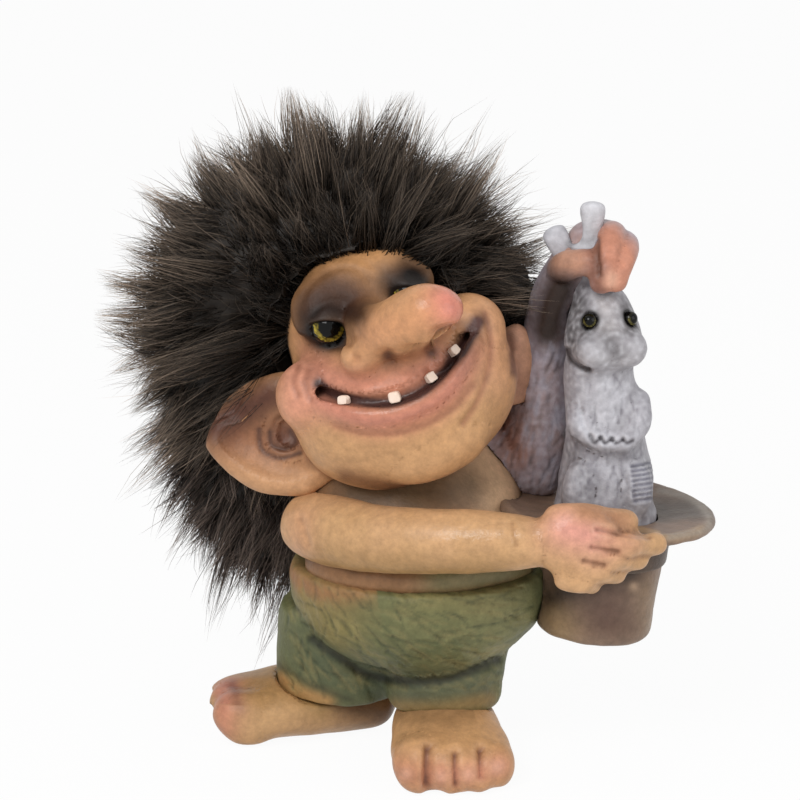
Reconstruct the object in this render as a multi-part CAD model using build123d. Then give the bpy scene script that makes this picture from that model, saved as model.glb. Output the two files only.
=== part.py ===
from build123d import *
import os
from math import cos, pi, radians, sin, sqrt

# A troll figure, cast in hard rubber piece by piece, that holds a rabbit by the ears over an upturned hat.
# Millimetres. X runs to the viewer's right, Y away from the viewer and Z up. Heights are measured from
# the waist while the pieces are made, so the floor lies WAIST_HEIGHT below zero until the last step.

# Joints between the castings
SEAT_GAP = 0.1
EYE_GAP = 0.05

# Trousers: one casting with a belly over two short legs
WAIST_HEIGHT = 57.0
BELLY_CENTRE = (6, -5, -5)
BELLY_RADII = (37, 33, 27)
SEAT_CENTRE = (0, 11, -13)
SEAT_RADII = (31, 21, 23)
RIGHT_HEM_HEIGHT = 13.0
LEFT_HEM_HEIGHT = 15.0
HIP_DROP = 16.0
# The hem, the knee and the hip of each leg: middle x and y, half width and half depth
RIGHT_LEG = ((-17, 9, 18.5, 17), (-16, 7, 20, 18.5), (-14, 5, 20.5, 20))
LEFT_LEG = ((12.5, -7, 16, 16.5), (12.5, -5, 18, 18), (12, -3, 20, 20))

# Feet, each made pointing at the viewer about its ankle
FOOT_TURN_RIGHT = -82.0
FOOT_TURN_LEFT = 5.0
RIGHT_ANKLE = (-15, 11)
LEFT_ANKLE = (12, -6)
FOOT_WIDTH = 32.0
INSTEP_HEIGHT = 22.0
HEEL_REACH = 14.0
TOE_ROOT_REACH = 28.0
TOE_HEIGHT = 15.5
TOE_LENGTH = 8.0
# The big toe and three smaller ones: place across, reach past the root, half width and size
TOES = ((-0.62, 2, 0.45, 1.1), (-0.03, 3.2, 0.34, 1), (0.41, 2.6, 0.3, 0.95), (0.8, 0, 0.3, 0.9))
ANKLE_RADIUS = 11.0
ANKLE_PEG = 9.0

# Torso: ovals at heights above the waist, with a plug below and the neck's plug above
TORSO_HEIGHT = 39.0
WAIST_HALF_WIDTH = 32.5
WAIST_HALF_DEPTH = 28.5
PLUG_STEP = 3.5
PLUG_DEPTH = 11.0
NECK_RADIUS = 12.5
NECK_PLUG = 11.0
NECK_COLLAR = 2.0
NECK_SHIFT = (-5, 5)
# Rows of the chest: share of its height, how much narrower and shallower than the waist, and its shift
CHEST_ROWS = ((0, 0, 0, 0, 0), (0.33, 0.5, 1.5, -2, 1), (0.64, 4, 6, -3, 3), (0.87, 11, 11, -4, 5))

# Head, in its own frame: eyes level, face towards the viewer, then turned and tipped onto the neck
HEAD_CENTRE = (-3.6, -6, 59)
HEAD_YAW = 7.0
HEAD_ROLL = -22.0
HEAD_PITCH = -15.0
SKULL_CENTRE = (0, 4, 12)
SKULL_RADII = (25, 26, 26)
JAW_CENTRE = (0, -8, -12)
JAW_RADII = (32, 26, 24.5)
CHEEK_SPREAD = 23.0
CHEEK_REACH = 15.0
CHEEK_DROP = 2.0
CHEEK_RADIUS = 10.5
EYE_SPREAD = 11.7
EYE_HEIGHT = 14.0
EYE_RADIUS = 5.0
EYE_STAND = 1.6
LID_RADIUS = 10.5
LID_RISE = 4.0
CHIN_HEIGHT = -27.0
CHIN_RADII = (16, 10.5, 9.5)
CHIN_SINK = 9.0
NOSE_RADIUS = 8.0
NOSE_LENGTH = 29.0
NOSE_BEND = 13.0
NOSE_DROP = 7.0
NOSTRIL_RADII = (5.5, 6.5, 5)
NOSTRIL_SPREAD = 7.5
SMILE_SPREAD = 24.0
SMILE_DROP = 10.6
SMILE_RISE = 11.0
MOUTH_RADIUS = 2.1
LIP_RADIUS = 2.5
TOOTH_WIDTH = 3.6
TOOTH_HEIGHT = 3.6
TOOTH_DEPTH = 4.2
TOOTH_PLACES = (-15.5, -3, 8, 16.5)
TOOTH_LEAN = 1.1
TOOTH_FAN = 1.6

# Ears: a tilted oval shell with a raised rim, a scoop and a ring round the hollow
EAR_REACH = 21.0
EAR_HALF_HEIGHT = 17.5
EAR_HALF_THICKNESS = 4.4
EAR_ROOT_INSET = 4.5
EAR_TILT = 20.0
EAR_OFFSET = 7.0
EAR_HOLLOW_SHIFT = 2.0
EAR_RISE = 3.0
EAR_RIM = 3.2
EAR_SCOOP = 3.4
EAR_RING_RADIUS = 6.5
EAR_RING_THICKNESS = 1.7
EAR_HOLLOW = 3.6
RIGHT_EAR_SWEEP = 14.0
LEFT_EAR_SWEEP = 48.0

# Hat, upside down: a crown, a curled brim and a band beside the brim
HAT_MOUTH = (57, -12, 14.4)
HAT_TILT = 5.0
BRIM_RADIUS = 30.5
BRIM_THICKNESS = 3.4
BRIM_CURL = 2.2
CROWN_HEIGHT = 33.0
CROWN_RADIUS = 17.6
CROWN_TAPER = 1.2
CROWN_EDGE = 2.5
BAND_HEIGHT = 9.0
BAND_THICKNESS = 1.3
HAT_RECESS_RADIUS = 14.5
HAT_RECESS_DEPTH = 7.0

# Rabbit, measured from the middle of the hat's mouth
RABBIT_HIP_HALF_WIDTH = 13.5
RABBIT_HIP_HALF_DEPTH = 12.0
RABBIT_CHEST_HALF_WIDTH = 10.4
RABBIT_CHEST_HALF_DEPTH = 9.6
RABBIT_CHEST_HEIGHT = 29.0
RABBIT_ARM_RADIUS = 3.7
RABBIT_PAW_RADIUS = 3.1
RABBIT_FOOT_RADII = (4.8, 5.2, 8)
RABBIT_HEAD_CENTRE = (-2, -1, 55.3)
RABBIT_HEAD_RADII = (11, 11, 11.2)
RABBIT_HEAD_TURN = 12.0
RABBIT_MUZZLE_REACH = 3.0
RABBIT_CHEEK_RADII = (5.4, 5, 5.2)
RABBIT_NOSE_RADII = (2.6, 2, 2)
RABBIT_EYE_RADIUS = 2.1
RABBIT_EYE_ANGLE = 40.0
RABBIT_EYE_RISE = 3.2
RABBIT_EAR_LENGTH = 25.0
RABBIT_EAR_HALF_WIDTH = 4.7
RABBIT_EAR_HALF_THICKNESS = 2.4

# Arms and hands
ARM_RADIUS = 9.4
WRIST_RADIUS = 7.0
FINGER_RADIUS = 3.5
THUMB_RADIUS = 4.0
FIST_FINGER_RADIUS = 3.8
RIGHT_SHOULDER = (-19, -3, 18)
RIGHT_SHOULDER_RADII = (10, 14, 11)
RIGHT_ELBOW = (-24, -14, 12.5)
RIGHT_FOREARM = (-7, -31, 14)
LEFT_SHOULDER = (22, 4, 28)
LEFT_ELBOW_HEIGHT = 25.0
LEFT_FOREARM_HEIGHT = 48.0
PALM_RADII = (12, 6.5, 10.5)
FIST_RADII = (9.5, 6, 9)
GRIP_RISE = 8.0
# Tips of the pinching fingers from the middle of the brim's near edge
FINGER_TIPS = ((12, 5, 0.5), (7, 2.5, -3), (1, 1, -6.5), (-5.5, 0.5, -9.5))
# Fingers of the fist: how far out, back and down each lies
FIST_FINGERS = ((0, 0, 0), (3.6, 1, 3))

# Fur
WIG_CENTRE = (-19, 15, 64)
WIG_RADII = (54, 41, 52)
HAIRLINE_SLOPE = 22.0
HAIRLINE_DEPTH = -2.0
HAIRLINE_HEIGHT = 48.0
MANE_TOP = 36.0
MANE_LENGTH = 64.0
MANE_HALF_WIDTH = 46.0
MANE_HALF_DEPTH = 14.0

FLOOR = -WAIST_HEIGHT
BLOCK = 400.0
EGG_ROWS = 7
EGG_CLOSE = 0.975
ROUND_END = ((0.42, 0.9), (0.75, 0.66), (0.97, 0.24))
RABBIT_HEAD_ROWS = ((-0.97, 0.55, 0.5, 1), (-0.7, 0.95, 0.85, 1), (-0.35, 1, 0.95, 0.9),
                    (0.15, 0.88, 0.98, 0.3), (0.6, 0.68, 0.8, 0), (0.95, 0.32, 0.38, 0))


def egg(centre, radii, turn=(0, 0, 0)):
    """An egg with three half sizes, turned about its centre: a loft through level ovals."""
    wide, deep, high = radii
    rings = []
    for row in range(EGG_ROWS):
        angle = EGG_CLOSE * (pi * row / (EGG_ROWS - 1) - pi / 2)
        rings.append(oval(high * sin(angle), wide * cos(angle), deep * cos(angle)))
    return Pos(*centre) * Rot(*turn) * loft(rings)


def ball(centre, radius):
    """A sphere at a point."""
    return Pos(*centre) * Sphere(radius)


def limb(stations, level=(0, 0, 1)):
    """A loft through ovals square to a bent line: a station is a point, a half width and a half height."""
    points = [Vector(*station[0]) for station in stations]
    sizes = [station[1:] for station in stations]
    sections = []
    last = len(points) - 1
    for index, (point, (wide, high)) in enumerate(zip(points, sizes)):
        run = (points[min(index + 1, last)] - points[max(index - 1, 0)]).normalized()
        side = Vector(*level).cross(run).normalized()
        ring = [(0, 1)]
        if index == 0:
            ring = [(-along, across) for along, across in reversed(ROUND_END)] + ring
        if index == last:
            ring = ring + list(ROUND_END)
        for along, across in ring:
            plane = Plane(origin=point + run * along * min(wide, high), x_dir=side, z_dir=run)
            sections.append(plane * Ellipse(wide * across, high * across))
    return loft(sections)


def oval(height, half_width, half_depth, x=0.0, y=0.0):
    """A level oval, for lofts that run upwards."""
    return Pos(x, y, height) * Ellipse(half_width, half_depth)


def whole(shape):
    """The main solid of a piece, without crumbs that a cut leaves."""
    return Part(max(shape.solids(), key=lambda solid: solid.volume).wrapped)


def leg(hem_height, rows):
    """A trouser leg from its hem to the hip."""
    hem = FLOOR + hem_height
    heights = (hem, (hem - HIP_DROP) / 2, -HIP_DROP)
    return loft([oval(height, wide, deep, x, y) for height, (x, y, wide, deep) in zip(heights, rows)])


def trousers():
    """Belly, seat and two legs with flat hems, open at the waist for the torso's plug."""
    right = leg(RIGHT_HEM_HEIGHT, RIGHT_LEG)
    left = leg(LEFT_HEM_HEIGHT, LEFT_LEG)
    body = egg(BELLY_CENTRE, BELLY_RADII) + egg(SEAT_CENTRE, SEAT_RADII) + right + left
    above = Box(BLOCK, BLOCK, BLOCK, align=(Align.CENTER, Align.CENTER, Align.MIN))
    return body - above


def torso():
    """Chest above the waist, a plug for the trousers below and a plug for the head above."""
    x, y = BELLY_CENTRE[0], BELLY_CENTRE[1]
    rows = []
    for share, narrow, flat, aside, back in CHEST_ROWS:
        wide, deep = WAIST_HALF_WIDTH - narrow, WAIST_HALF_DEPTH - flat
        rows.append(oval(share * TORSO_HEIGHT, wide, deep, x + aside, y + back))
    neck_x, neck_y = x + NECK_SHIFT[0], y + NECK_SHIFT[1]
    collar = oval(TORSO_HEIGHT, NECK_RADIUS + NECK_COLLAR, NECK_RADIUS + NECK_COLLAR / 2, neck_x, neck_y)
    chest = loft([*rows, collar])
    neck = Pos(neck_x, neck_y, TORSO_HEIGHT) * Cylinder(
        NECK_RADIUS, NECK_PLUG, align=(Align.CENTER, Align.CENTER, Align.MIN))
    return chest + neck + waist_plug(0)


def waist_plug(gap):
    """The oval plug under the torso, or with a gap the socket for it."""
    shape = Pos(BELLY_CENTRE[0], BELLY_CENTRE[1], -PLUG_DEPTH - gap) * Ellipse(
        WAIST_HALF_WIDTH - PLUG_STEP + gap, WAIST_HALF_DEPTH - PLUG_STEP + gap)
    return extrude(shape, amount=PLUG_DEPTH + gap)


def foot():
    """A bare foot that points at the viewer with four toes, the big toe on its left, and a flat sole."""
    half = FOOT_WIDTH / 2
    rise = INSTEP_HEIGHT / 2
    body = limb([
        ((0, HEEL_REACH - 9, rise - 1.5), half - 4, rise - 1),
        ((0, -4, rise - 0.5), half - 1.5, rise),
        ((0, -0.55 * TOE_ROOT_REACH, rise - 1.5), half, rise - 1),
        ((0, -TOE_ROOT_REACH, rise - 3), half + 0.5, rise - 3),
    ])
    toe = TOE_HEIGHT / 2
    for across, ahead, wide, size in TOES:
        body += egg((across * half, -TOE_ROOT_REACH - ahead, toe * size - 0.8),
                    (wide * half, TOE_LENGTH, toe * size))
    under = Box(BLOCK, BLOCK, BLOCK, align=(Align.CENTER, Align.CENTER, Align.MAX))
    return body - under


def ankle(turn_at, hem_height, gap):
    """The peg that stands on a foot inside the trouser leg, or with a gap the socket for it."""
    base = Pos(turn_at[0], turn_at[1], FLOOR + INSTEP_HEIGHT / 2)
    height = hem_height - INSTEP_HEIGHT / 2 + ANKLE_PEG + gap
    return base * Cylinder(ANKLE_RADIUS + gap, height, align=(Align.CENTER, Align.CENTER, Align.MIN))


def jaw_front(x, z):
    """How far forward the jaw's surface is at a place on the face."""
    dx = (x - JAW_CENTRE[0]) / JAW_RADII[0]
    dz = (z - JAW_CENTRE[2]) / JAW_RADII[2]
    return JAW_CENTRE[1] - JAW_RADII[1] * sqrt(1 - dx * dx - dz * dz)


def smile(x, drop=0.0):
    """The point on the smile's line at a distance from the middle, or on a line that lies lower."""
    z = SMILE_RISE * (x / SMILE_SPREAD) ** 2 - SMILE_DROP - drop
    return (x, jaw_front(x, z), z)


def smile_tube(radius, spread, drop=0.0):
    """A round bar along the smile."""
    stations = [(smile(share * spread, drop), radius, radius) for share in (-1, -0.6, -0.2, 0.2, 0.6, 1)]
    return limb(stations)


def eye_point(side):
    """The middle of an eye, set in the lids so that it stands out by EYE_STAND."""
    dx = (EYE_SPREAD - SKULL_CENTRE[0]) / SKULL_RADII[0]
    dz = (EYE_HEIGHT - SKULL_CENTRE[2]) / SKULL_RADII[2]
    front = SKULL_CENTRE[1] - SKULL_RADII[1] * sqrt(1 - dx * dx - dz * dz)
    return (side * EYE_SPREAD, front - EYE_STAND, EYE_HEIGHT)


def skull_forms():
    """Skull, jaw, cheeks and lids: the round forms that the rest of the head grows from."""
    forms = [egg(SKULL_CENTRE, SKULL_RADII), egg(JAW_CENTRE, JAW_RADII)]
    for side in (-1, 1):
        forms.append(ball((side * CHEEK_SPREAD, -CHEEK_REACH, -CHEEK_DROP), CHEEK_RADIUS))
        x, y, z = eye_point(side)
        forms.append(egg((0.88 * x, y + 3, z + LID_RISE), (LID_RADIUS, EYE_RADIUS + 1.5, LID_RADIUS)))
    return forms


def head():
    """Skull, jaw, cheeks, brow, lids, long nose and grin, with seats for the eyes."""
    skull, *rest = skull_forms()
    face = skull + rest
    face += egg((2, jaw_front(0, CHIN_HEIGHT) + CHIN_SINK, CHIN_HEIGHT), CHIN_RADII)
    face += nose()
    face += smile_tube(LIP_RADIUS, SMILE_SPREAD - 2, MOUTH_RADIUS + LIP_RADIUS - 0.6)
    face -= smile_tube(MOUTH_RADIUS, SMILE_SPREAD)
    for side in (-1, 1):
        face -= ball(eye_point(side), EYE_RADIUS + EYE_GAP)
    return face


def nose():
    """A long nose that bends to one side, with two nostril wings."""
    root = SKULL_CENTRE[1] - SKULL_RADII[1]
    tip = root - NOSE_LENGTH
    level = EYE_HEIGHT - NOSE_DROP
    bridge = limb([
        ((-2, root, EYE_HEIGHT - 2), NOSE_RADIUS - 2.5, NOSE_RADIUS - 2.5),
        ((-1, root - 0.36 * NOSE_LENGTH, level + 1), NOSE_RADIUS - 0.8, NOSE_RADIUS - 0.8),
        ((0.45 * NOSE_BEND, root - 0.72 * NOSE_LENGTH, level - 0.5), NOSE_RADIUS, NOSE_RADIUS),
        ((NOSE_BEND, tip, level), NOSE_RADIUS, NOSE_RADIUS),
    ])
    wings = egg((-NOSTRIL_SPREAD, root - 11, level - 4), NOSTRIL_RADII)
    wings += egg((NOSTRIL_SPREAD, root - 13, level - 7), NOSTRIL_RADII)
    return bridge + wings


def tooth(place):
    """One blocky tooth that stands in the mouth."""
    x, y, z = smile(place)
    block = Box(TOOTH_WIDTH, TOOTH_DEPTH, TOOTH_HEIGHT)
    block = fillet(block.edges().filter_by(Axis.Y), TOOTH_WIDTH / 5)
    return Pos(x, y, z) * Rot(0, -TOOTH_LEAN * place, TOOTH_FAN * place) * block


def ear(side, sweep):
    """A tilted oval shell beside the jaw, scooped in front, with a ring round the hollow."""
    front = -EAR_HALF_THICKNESS
    shell = egg((0, 0, 0), (EAR_REACH, EAR_HALF_THICKNESS, EAR_HALF_HEIGHT), (0, EAR_TILT, 0))
    scoop = egg((0, front, 0), (EAR_REACH - EAR_RIM, EAR_SCOOP, EAR_HALF_HEIGHT - EAR_RIM), (0, EAR_TILT, 0))
    ring = Rot(90, 0, 0) * Torus(EAR_RING_RADIUS, EAR_RING_THICKNESS)
    ring = Pos(EAR_HOLLOW_SHIFT, front + EAR_SCOOP, 0) * ring
    hollow = egg((EAR_HOLLOW_SHIFT, front + EAR_SCOOP, 0), (EAR_HOLLOW, EAR_RING_THICKNESS, EAR_HOLLOW))
    leaf = shell - scoop + ring - hollow
    if side > 0:
        leaf = mirror(leaf, about=Plane.YZ)
    root = Pos(side * (JAW_RADII[0] - EAR_ROOT_INSET), 0, JAW_CENTRE[2] + EAR_RISE)
    return root * Rot(0, 0, side * sweep) * Pos(side * EAR_OFFSET, 0, 0) * leaf


def hat():
    """Crown, brim that curls up at its edge, and a shallow seat for the rabbit, about the mouth's middle."""
    upright = (Align.CENTER, Align.CENTER, Align.MIN)
    crown = Cone(CROWN_RADIUS - CROWN_TAPER, CROWN_RADIUS, CROWN_HEIGHT, align=upright)
    crown = Pos(0, 0, -CROWN_HEIGHT) * crown
    crown = fillet(crown.edges().sort_by(Axis.Z)[0], CROWN_EDGE)
    half = BRIM_THICKNESS / 2
    edge = BRIM_RADIUS - half
    inner = CROWN_RADIUS / 2
    middle = (inner + edge) / 2
    outline = Wire([
        Line((inner, 0, -half), (inner, 0, half)),
        ThreePointArc((inner, 0, half), (middle, 0, half + 0.15 * BRIM_CURL), (edge, 0, half + BRIM_CURL)),
        ThreePointArc((edge, 0, half + BRIM_CURL), (BRIM_RADIUS, 0, BRIM_CURL), (edge, 0, BRIM_CURL - half)),
        ThreePointArc((edge, 0, BRIM_CURL - half), (middle, 0, 0.15 * BRIM_CURL - half), (inner, 0, -half)),
    ])
    brim = revolve(Face(outline), Axis.Z)
    recess = Pos(0, 0, half) * Cylinder(
        HAT_RECESS_RADIUS, HAT_RECESS_DEPTH, align=(Align.CENTER, Align.CENTER, Align.MAX))
    lid = Cylinder(CROWN_RADIUS, BRIM_THICKNESS)
    return crown + brim + lid - recess


def hat_band():
    """The ribbon round the crown, next to the brim: a cone's wall that lies on the crown's."""
    top = -BRIM_THICKNESS / 2
    slope = CROWN_TAPER / CROWN_HEIGHT
    low = CROWN_RADIUS + (top - BAND_HEIGHT) * slope
    high = CROWN_RADIUS + top * slope
    level = (Align.CENTER, Align.CENTER, Align.MAX)
    outer = Cone(low + BAND_THICKNESS, high + BAND_THICKNESS, BAND_HEIGHT, align=level)
    return Pos(0, 0, top) * (outer - Cone(low, high, BAND_HEIGHT, align=level))


def rabbit():
    """Hips that taper to the neck, folded paws, feet and two ears, about the middle of the hat's mouth."""
    wide, deep, high = RABBIT_HIP_HALF_WIDTH, RABBIT_HIP_HALF_DEPTH, RABBIT_CHEST_HEIGHT
    hx, hy, hz = RABBIT_HEAD_CENTRE
    neck = hz - RABBIT_HEAD_RADII[2] / 2
    body = loft([
        oval(0, 0.9 * wide, 0.9 * deep),
        oval(0.3 * high, wide, deep),
        oval(0.65 * high, (wide + RABBIT_CHEST_HALF_WIDTH) / 2, (deep + RABBIT_CHEST_HALF_DEPTH) / 2),
        oval(high, RABBIT_CHEST_HALF_WIDTH, RABBIT_CHEST_HALF_DEPTH, hx / 2, hy / 2),
        oval(neck, 0.8 * RABBIT_CHEST_HALF_WIDTH, 0.8 * RABBIT_CHEST_HALF_DEPTH, hx, hy),
    ])
    for side, paw in ((-1, -1.5), (1, 4)):
        shoulder = (side * 0.8 * RABBIT_CHEST_HALF_WIDTH, -0.3 * RABBIT_CHEST_HALF_DEPTH, high + 5)
        elbow = (side * 0.72 * RABBIT_CHEST_HALF_WIDTH, -0.88 * RABBIT_CHEST_HALF_DEPTH, high - 1)
        wrist = (paw, -1.18 * RABBIT_CHEST_HALF_DEPTH, high - 4.5)
        body += limb([
            (shoulder, RABBIT_ARM_RADIUS, RABBIT_ARM_RADIUS),
            (elbow, RABBIT_ARM_RADIUS, RABBIT_ARM_RADIUS),
            (wrist, RABBIT_PAW_RADIUS, RABBIT_PAW_RADIUS),
        ], level=(0, 1, 0))
        body += egg((side * 0.6 * wide, -0.75 * deep, RABBIT_FOOT_RADII[2] + 2.5), RABBIT_FOOT_RADII)
    crest = hz + RABBIT_HEAD_RADII[2] - 4
    leaf, thin, length = RABBIT_EAR_HALF_WIDTH, RABBIT_EAR_HALF_THICKNESS, RABBIT_EAR_LENGTH
    body += limb([
        ((hx - 2, hy + 1, crest), 0.75 * leaf, thin),
        ((hx - 2.7, hy + 1, crest + 0.6 * length), leaf, thin),
        ((hx - 2.7, hy + 1, crest + length), 0.75 * leaf, 0.8 * thin),
    ], level=(0, 1, 0))
    body += limb([
        ((hx - 4, hy + 2, crest), 0.7 * leaf, thin),
        ((hx - 9, hy + 3, crest + 0.38 * length), 0.75 * leaf, thin),
        ((hx - 13, hy + 4, crest + 0.7 * length), 0.75 * leaf, 0.8 * thin),
    ], level=(0, 1, 0))
    return body


def rabbit_head():
    """A pear-shaped head with two cheek pads and a nose, about its own middle and facing the viewer."""
    wide, deep, high = RABBIT_HEAD_RADII
    skull = loft([oval(rise * high, across * wide, along * deep, 0, -ahead * RABBIT_MUZZLE_REACH)
                  for rise, across, along, ahead in RABBIT_HEAD_ROWS])
    front = -0.93 * deep - 0.9 * RABBIT_MUZZLE_REACH
    for side in (-1, 1):
        skull += egg((side * 0.9 * RABBIT_CHEEK_RADII[0], front + 0.6 * RABBIT_CHEEK_RADII[1], -0.42 * high),
                     RABBIT_CHEEK_RADII)
    return skull + egg((0, front, 0.02 * high), RABBIT_NOSE_RADII)


def rabbit_plug(gap):
    """The round plug under the rabbit."""
    deep = HAT_RECESS_DEPTH - BRIM_THICKNESS / 2
    return Pos(0, 0, -deep + gap) * Cylinder(
        HAT_RECESS_RADIUS - gap, HAT_RECESS_DEPTH + 2, align=(Align.CENTER, Align.CENTER, Align.MIN))


def rabbit_eye_point(side):
    """The middle of a rabbit's eye in the frame of its head, on the side of its face."""
    angle = radians(RABBIT_EYE_ANGLE)
    x = side * 0.8 * RABBIT_HEAD_RADII[0] * sin(angle)
    y = -0.9 * RABBIT_HEAD_RADII[1] * cos(angle) - 0.2 * RABBIT_MUZZLE_REACH
    return (x, y, RABBIT_EYE_RISE)


def right_upper_arm():
    """The upper arm, which comes forward from the shoulder."""
    return egg(RIGHT_SHOULDER, RIGHT_SHOULDER_RADII, (40, 0, -20))


def right_arm():
    """Upper arm, forearm across the chest, and a hand that pinches the hat's brim."""
    mx, my, mz = HAT_MOUTH
    rim = my - BRIM_RADIUS
    wrist = (mx - 22, rim - 1, mz + 2.5)
    arm = right_upper_arm() + limb([
        (RIGHT_ELBOW, ARM_RADIUS, ARM_RADIUS),
        (RIGHT_FOREARM, ARM_RADIUS, ARM_RADIUS),
        ((13, rim + 3, 16), ARM_RADIUS - 0.6, ARM_RADIUS - 0.6),
        (wrist, WRIST_RADIUS, WRIST_RADIUS),
    ])
    arm += egg((mx - 10, rim - 3, mz + 3.5), PALM_RADII, (0, 12, 0))
    for number, (x, y, z) in enumerate(FINGER_TIPS):
        size = FINGER_RADIUS - 0.15 * number
        root = (mx - 7 - 2 * number, rim - 5, mz + 3.5 - 3.4 * number)
        knuckle = ((root[0] + mx + x) / 2 + 1, rim - 5.5 + y / 3, (root[2] + mz + z) / 2 + 0.6)
        tip = (mx + x, rim + y - 1, mz + z)
        arm += limb([(root, size, size), (knuckle, size, size), (tip, size - 0.4, size - 0.4)])
    arm += limb([
        ((mx - 15, rim - 2, mz + 9.5), THUMB_RADIUS, THUMB_RADIUS),
        ((mx - 5, rim - 1, mz + 9.5), THUMB_RADIUS, THUMB_RADIUS - 0.3),
        ((mx + 4, rim + 4, mz + 7), THUMB_RADIUS - 0.4, THUMB_RADIUS - 0.8),
    ])
    return arm


def left_arm_bones():
    """The shoulder, the elbow and the middle of the fist, which holds the ears above the rabbit's head."""
    x, y, z = HAT_MOUTH
    grip = (x + RABBIT_HEAD_CENTRE[0] - 2, y + RABBIT_HEAD_CENTRE[1] + 4,
            z + RABBIT_HEAD_CENTRE[2] + RABBIT_HEAD_RADII[2] + GRIP_RISE)
    return LEFT_SHOULDER, (grip[0] - 15, grip[1] + 11, LEFT_ELBOW_HEIGHT), grip


def left_upper_arm():
    """The upper arm, out to the side."""
    shoulder, elbow, _ = left_arm_bones()
    return limb([(shoulder, ARM_RADIUS + 0.6, ARM_RADIUS + 0.6), (elbow, ARM_RADIUS, ARM_RADIUS)])


def left_arm():
    """Upper arm out to the side, forearm straight up, and a fist round the rabbit's ears."""
    _, elbow, (gx, gy, gz) = left_arm_bones()
    arm = left_upper_arm() + limb([
        (elbow, ARM_RADIUS, ARM_RADIUS),
        ((gx - 13, gy + 9, LEFT_FOREARM_HEIGHT), ARM_RADIUS - 0.8, ARM_RADIUS - 0.8),
        ((gx - 10, gy + 4, gz - 14), WRIST_RADIUS, WRIST_RADIUS),
        ((gx - 5, gy + 2, gz - 3), WRIST_RADIUS, WRIST_RADIUS),
    ], level=(0, 1, 0))
    arm += egg((gx + 1, gy + 2.5, gz), FIST_RADII)
    size = FIST_FINGER_RADIUS
    for out, back, drop in FIST_FINGERS:
        arm += limb([
            ((gx + 4 + out, gy + 2 + back, gz + 4.5 - drop), size, size),
            ((gx + 4.5 + out, gy - 6 + back, gz + 5.5 - drop), size, size),
            ((gx + 2.4 + out, gy - 11.5 + back, gz + 1.5 - drop), size, size),
            ((gx + 1.4 + out, gy - 12.5 + back, gz - 5), size - 0.3, size - 0.3),
        ])
    arm += limb([
        ((gx - 9, gy - 2, gz - 4), THUMB_RADIUS, THUMB_RADIUS),
        ((gx - 6.5, gy - 8, gz - 1.6), THUMB_RADIUS, THUMB_RADIUS),
        ((gx - 2.4, gy - 10.5, gz - 0.6), THUMB_RADIUS - 0.5, THUMB_RADIUS - 0.5),
    ])
    return arm


def wig():
    """The mass of fur round the head, cut off along the hairline."""
    mass = egg(WIG_CENTRE, WIG_RADII)
    front = Pos(0, HAIRLINE_DEPTH, HAIRLINE_HEIGHT) * Rot(HAIRLINE_SLOPE, 0, 0) * Box(
        BLOCK, BLOCK, BLOCK, align=(Align.CENTER, Align.MAX, Align.CENTER))
    return mass - front


def mane():
    """The fur that hangs down the back."""
    x, y = WIG_CENTRE[0], WIG_CENTRE[1] + 17
    return loft([
        oval(MANE_TOP - MANE_LENGTH, 0.4 * MANE_HALF_WIDTH, 0.45 * MANE_HALF_DEPTH, x - 4, y),
        oval(MANE_TOP - 0.75 * MANE_LENGTH, 0.7 * MANE_HALF_WIDTH, 0.8 * MANE_HALF_DEPTH, x - 2, y),
        oval(MANE_TOP - 0.35 * MANE_LENGTH, MANE_HALF_WIDTH, MANE_HALF_DEPTH, x, y),
        oval(MANE_TOP, MANE_HALF_WIDTH, MANE_HALF_DEPTH, x, y),
    ])


head_at = Pos(*HEAD_CENTRE) * Rot(0, 0, HEAD_YAW) * Rot(0, HEAD_ROLL, 0) * Rot(HEAD_PITCH, 0, 0)
hat_at = Pos(*HAT_MOUTH) * Rot(0, HAT_TILT, 0)
rabbit_at = Pos(*HAT_MOUTH)
rabbit_head_at = rabbit_at * Pos(*RABBIT_HEAD_CENTRE) * Rot(0, 0, RABBIT_HEAD_TURN)
nodes = {}

torso_solid = torso()
right_peg = ankle(RIGHT_ANKLE, RIGHT_HEM_HEIGHT, 0)
left_peg = ankle(LEFT_ANKLE, LEFT_HEM_HEIGHT, 0)
trousers_whole = trousers()
nodes["torso"] = torso_solid
nodes["trousers"] = (trousers_whole - waist_plug(SEAT_GAP)
                     - ankle(RIGHT_ANKLE, RIGHT_HEM_HEIGHT, SEAT_GAP)
                     - ankle(LEFT_ANKLE, LEFT_HEM_HEIGHT, SEAT_GAP))
left_foot = Pos(LEFT_ANKLE[0], LEFT_ANKLE[1], FLOOR) * Rot(0, 0, FOOT_TURN_LEFT) * foot()
right_foot = mirror(foot(), about=Plane.YZ)
right_foot = Pos(RIGHT_ANKLE[0], RIGHT_ANKLE[1], FLOOR) * Rot(0, 0, FOOT_TURN_RIGHT) * right_foot
nodes["left_foot"] = left_foot - trousers_whole + left_peg
nodes["right_foot"] = right_foot - trousers_whole - left_foot + right_peg

head_whole = head_at * head()
nodes["head"] = whole(head_whole - torso_solid)
for name, side in (("right_eye", -1), ("left_eye", 1)):
    nodes[name] = head_at * ball(eye_point(side), EYE_RADIUS)
for number, place in enumerate(TOOTH_PLACES):
    nodes[f"tooth_{number + 1}"] = whole(head_at * tooth(place) - head_whole)

nodes["right_ear"] = whole(head_at * ear(-1, RIGHT_EAR_SWEEP) - head_whole - torso_solid)
nodes["left_ear"] = whole(head_at * ear(1, LEFT_EAR_SWEEP) - head_whole - torso_solid)

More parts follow.
